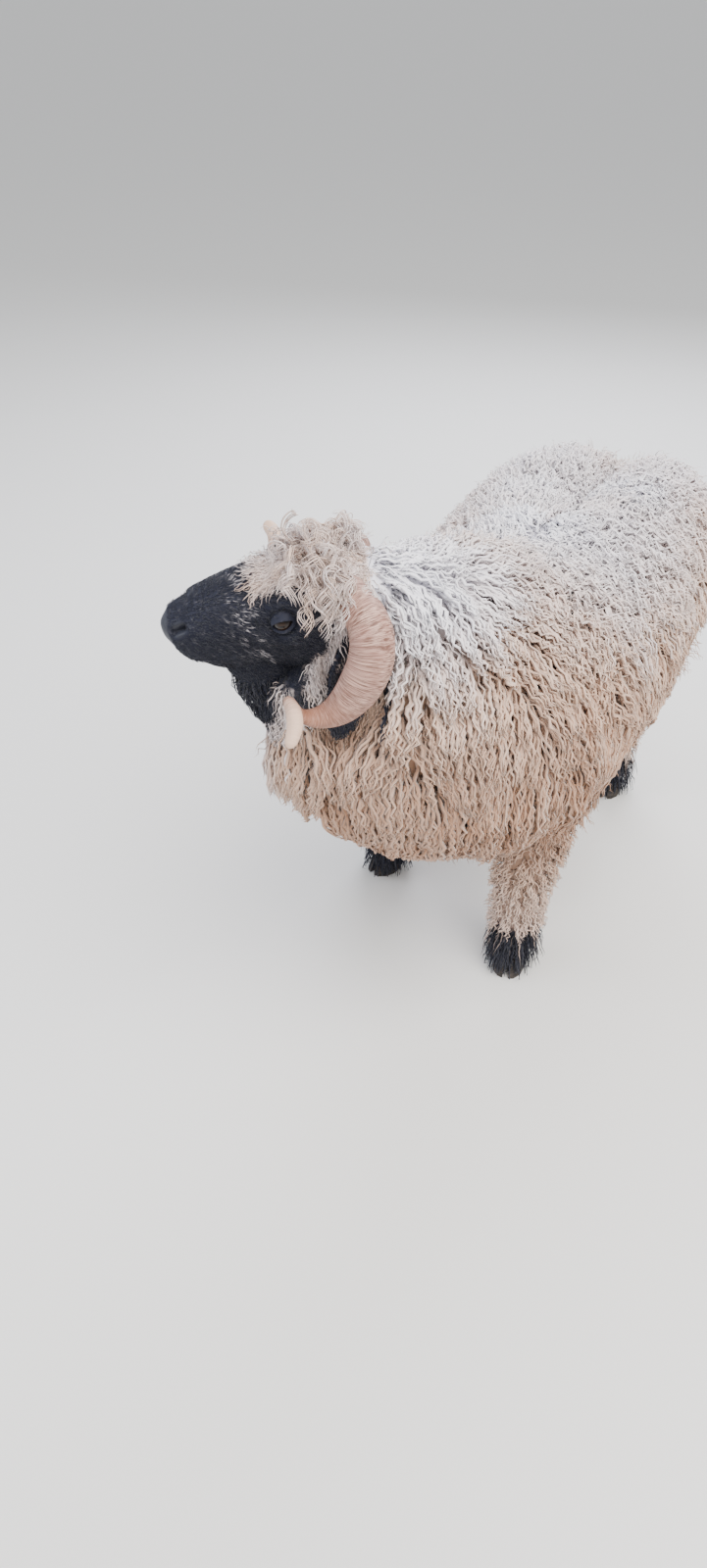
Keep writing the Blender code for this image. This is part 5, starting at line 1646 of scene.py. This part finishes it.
def hornMaterial():
    made, tree, shader = newMaterial("hornKeratin")
    place = addNode(tree, "ShaderNodeTexCoord").outputs["Object"]
    run, along = readMarks(tree, "run", "along")
    # The noise runs fast along the horn and slowly round it, so that its lines lie across
    lines = addNode(tree, "ShaderNodeCombineXYZ", None, {"X": run})
    wander = addNode(tree, "ShaderNodeVectorMath", {"operation": "SCALE"}, {
        "Vector": place, "Scale": 1000 / hornLook["wander"]})
    mixed = addNode(tree, "ShaderNodeVectorMath", {"operation": "MULTIPLY_ADD"}, {
        0: lines.outputs["Vector"], 1: (10 / hornLook["line"], 0.0, 0.0), 2: wander.outputs["Vector"]})
    fibre = addNode(tree, "ShaderNodeTexNoise", None, {
        "Vector": mixed.outputs["Vector"], "Scale": 1.0, "Detail": 3.0, "Roughness": 0.65}).outputs["Fac"]
    blotch = addNode(tree, "ShaderNodeTexNoise", None, {
        "Vector": place, "Scale": 1000 / hornLook["patch"], "Detail": 2.0}).outputs["Fac"]
    late = addNode(tree, "ShaderNodeMapRange", None, {"Value": along, "From Min": 0.40, "From Max": 0.66})
    early = addNode(tree, "ShaderNodeMapRange", None, {"Value": along, "From Min": 0.82, "From Max": 0.74})
    rim = addNode(tree, "ShaderNodeMath", {"operation": "MULTIPLY"}, {
        0: late.outputs["Result"], 1: early.outputs["Result"]}).outputs["Value"]
    colour = layColours(tree, hornLook["dark"], [
        (fibre, (0.40, 0.61), (0.0, 1.0), hornLook["pale"]),
        (blotch, (0.40, 0.70), (0.0, 0.50), hornLook["blotch"]),
        (rim, (0.0, 1.0), (0.0, 0.7), hornLook["rim"]),
        (along, (0.78, 0.88), (0.0, 0.8), hornLook["tip"])])
    bump = addNode(tree, "ShaderNodeBump", None, {"Strength": 0.8, "Distance": 0.0010, "Height": fibre})
    setInputs(tree, shader, {"Base Color": colour, "Roughness": 0.55, "Specular IOR Level": 0.45,
                             "Normal": bump.outputs["Normal"]})
    return made


hornKeratin = hornMaterial()
for name, side in (("horn_left", 1), ("horn_right", -1)):
    piece = hornPiece(name.replace("_", "") + "Curl", side)
    piece.data.materials.append(hornKeratin)
    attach(piece, "root")
    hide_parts(name)
print("horns made")

# Eyes, wet: dark amber with a level bar of a pupil
eyeLook = {
    "inner": "#2A1A0F", "outer": "#120B07", "pupil": "#050404", "white": "#17110E",
    "iris": (0.0025, 0.0085), "edge": (0.0086, 0.0096),   # from the middle of the iris, in metres
    "bar": (0.0023, 0.0018), "barStretch": (0.42, 1.35, 1.0),
}


def eyeMaterial(name, centre, along, upright):
    made, tree, shader = newMaterial(name)
    place = addNode(tree, "ShaderNodeTexCoord").outputs["Object"]
    offset = addNode(tree, "ShaderNodeVectorMath", {"operation": "SUBTRACT"}, {0: place, 1: tuple(centre)})
    level, high = (addNode(tree, "ShaderNodeVectorMath", {"operation": "DOT_PRODUCT"}, {
        0: offset.outputs["Vector"], 1: tuple(way)}).outputs["Value"] for way in (along, upright))
    flat = addNode(tree, "ShaderNodeCombineXYZ", None, {"X": level, "Y": high}).outputs["Vector"]
    wide = addNode(tree, "ShaderNodeVectorMath", {"operation": "MULTIPLY"}, {
        0: flat, 1: eyeLook["barStretch"]}).outputs["Vector"]
    radius, bar = (addNode(tree, "ShaderNodeVectorMath", {"operation": "LENGTH"}, {
        0: vector}).outputs["Value"] for vector in (flat, wide))
    full = (0.0, 1.0)
    colour = layColours(tree, eyeLook["inner"], [
        (radius, eyeLook["iris"], full, eyeLook["outer"]), (bar, eyeLook["bar"], full, eyeLook["pupil"]),
        (radius, eyeLook["edge"], full, eyeLook["white"])])
    setInputs(tree, shader, {"Base Color": colour, "Roughness": 0.10, "Specular IOR Level": 0.22,
                             "Coat Weight": 0.10, "Coat Roughness": 0.02})
    return made


for node, side in (("eye_left", 1), ("eye_right", -1)):
    deselectAll()
    forward, left, up = pose["eye"]
    centre = onHead(forward, side * left, up)
    bpy.ops.mesh.primitive_uv_sphere_add(segments=48, ring_count=32, radius=eyeForm["radius"])
    ball = bpy.context.object
    ball.name = node.replace("_", "") + "Ball"
    setPoints(ball, meshPoints(ball) + centre)
    bpy.ops.object.shade_smooth()
    out = eyeWay(side)
    along = unit(forwardWay - out * out.dot(forwardWay))
    upright = unit(np.cross(along, out))
    ball.data.materials.append(eyeMaterial(node.replace("_", "") + "Wet", centre, along, upright))
    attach(ball, "root")
    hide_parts(node)

# Hooves, dry keratin: dark and dull, with faint rings
hoofLook = {"dark": "#221E1C", "pale": "#4A423C", "grain": (16.667, 16.667, 2.381)}    # grain in mm


def hoofMaterial():
    made, tree, shader = newMaterial("hoofKeratin")
    place = addNode(tree, "ShaderNodeTexCoord").outputs["Object"]
    grain = addNode(tree, "ShaderNodeMapping", None, {
        "Vector": place, "Scale": tuple(1000 / size for size in hoofLook["grain"])})
    rings = addNode(tree, "ShaderNodeTexNoise", None, {
        "Vector": grain.outputs["Vector"], "Scale": 1.0, "Detail": 3.0}).outputs["Fac"]
    bump = addNode(tree, "ShaderNodeBump", None, {"Strength": 0.5, "Distance": 0.0008, "Height": rings})
    colour = layColours(tree, hoofLook["dark"], [(rings, (0.35, 0.70), (0.0, 1.0), hoofLook["pale"])])
    setInputs(tree, shader, {"Base Color": colour, "Roughness": 0.62, "Specular IOR Level": 0.35,
                             "Normal": bump.outputs["Normal"]})
    return made


hoofKeratin = hoofMaterial()
for name in hoofNames:
    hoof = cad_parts[name]
    hoof.data.materials.clear()
    hoof.data.materials.append(hoofKeratin)
print("eyes and hooves made")

# Camera at the photo's place, over a plain pale floor

cameraPlan = {"place": (0.4873, -1.7494, 1.48), "way": (-0.454, 0.891), "pitch": 36,
              "focal": 1170, "tall": 1600, "sensor": 36}     # focal length and height of the photo in pixels
cameraData = bpy.data.cameras.new("photoCamera")
cameraData.sensor_fit = "VERTICAL"
cameraData.sensor_height = cameraPlan["sensor"]
cameraData.lens = cameraPlan["focal"] / cameraPlan["tall"] * cameraPlan["sensor"]
camera = bpy.data.objects.new("photoCamera", cameraData)
bpy.context.scene.collection.objects.link(camera)
camera.location = Vector(onSheep(cameraPlan["place"]))
pitch = math.radians(cameraPlan["pitch"])
lookX, lookY = (part * math.cos(pitch) for part in cameraPlan["way"])
camera.rotation_euler = Vector((lookX, lookY, -math.sin(pitch))).to_track_quat("-Z", "Y").to_euler()
bpy.context.scene.camera = camera

deselectAll()
bpy.ops.mesh.primitive_plane_add(size=120)
floor = bpy.context.object
floor.name = "floor"
floorLook, floorTree, floorShader = newMaterial("palePlaster")     # troweled flat, matt
setInputs(floorTree, floorShader, {"Base Color": "#E2E0DC", "Roughness": 0.9})
floor.data.materials.append(floorLook)

lights = [                                    # name, place from the sheep, size, power, colour
    ("keyLight", (1.6, -1.2, 3.2), 2.6, 240, "#FFFCF8"),
    ("fillLight", (-2.6, -1.8, 2.2), 2.8, 75, "#EAF1FF"),
    ("rimLight", (-0.6, 2.8, 2.6), 2.4, 150, "#EEF2FF"),
]
for name, place, size, power, colour in lights:
    data = bpy.data.lights.new(name, "AREA")
    data.size = size
    data.energy = power
    data.color = toLinear(colour)[:3]
    light = bpy.data.objects.new(name, data)
    bpy.context.scene.collection.objects.link(light)
    light.location = place
    light.rotation_euler = (Vector((0, 0, 0.5)) - Vector(place)).to_track_quat("-Z", "Y").to_euler()
world = bpy.data.worlds.new("studio")
bpy.context.scene.world = world
world.use_nodes = True
setInputs(world.node_tree, world.node_tree.nodes["Background"], {"Color": "#E6E9EE", "Strength": 1.05})
print("camera and lights set")
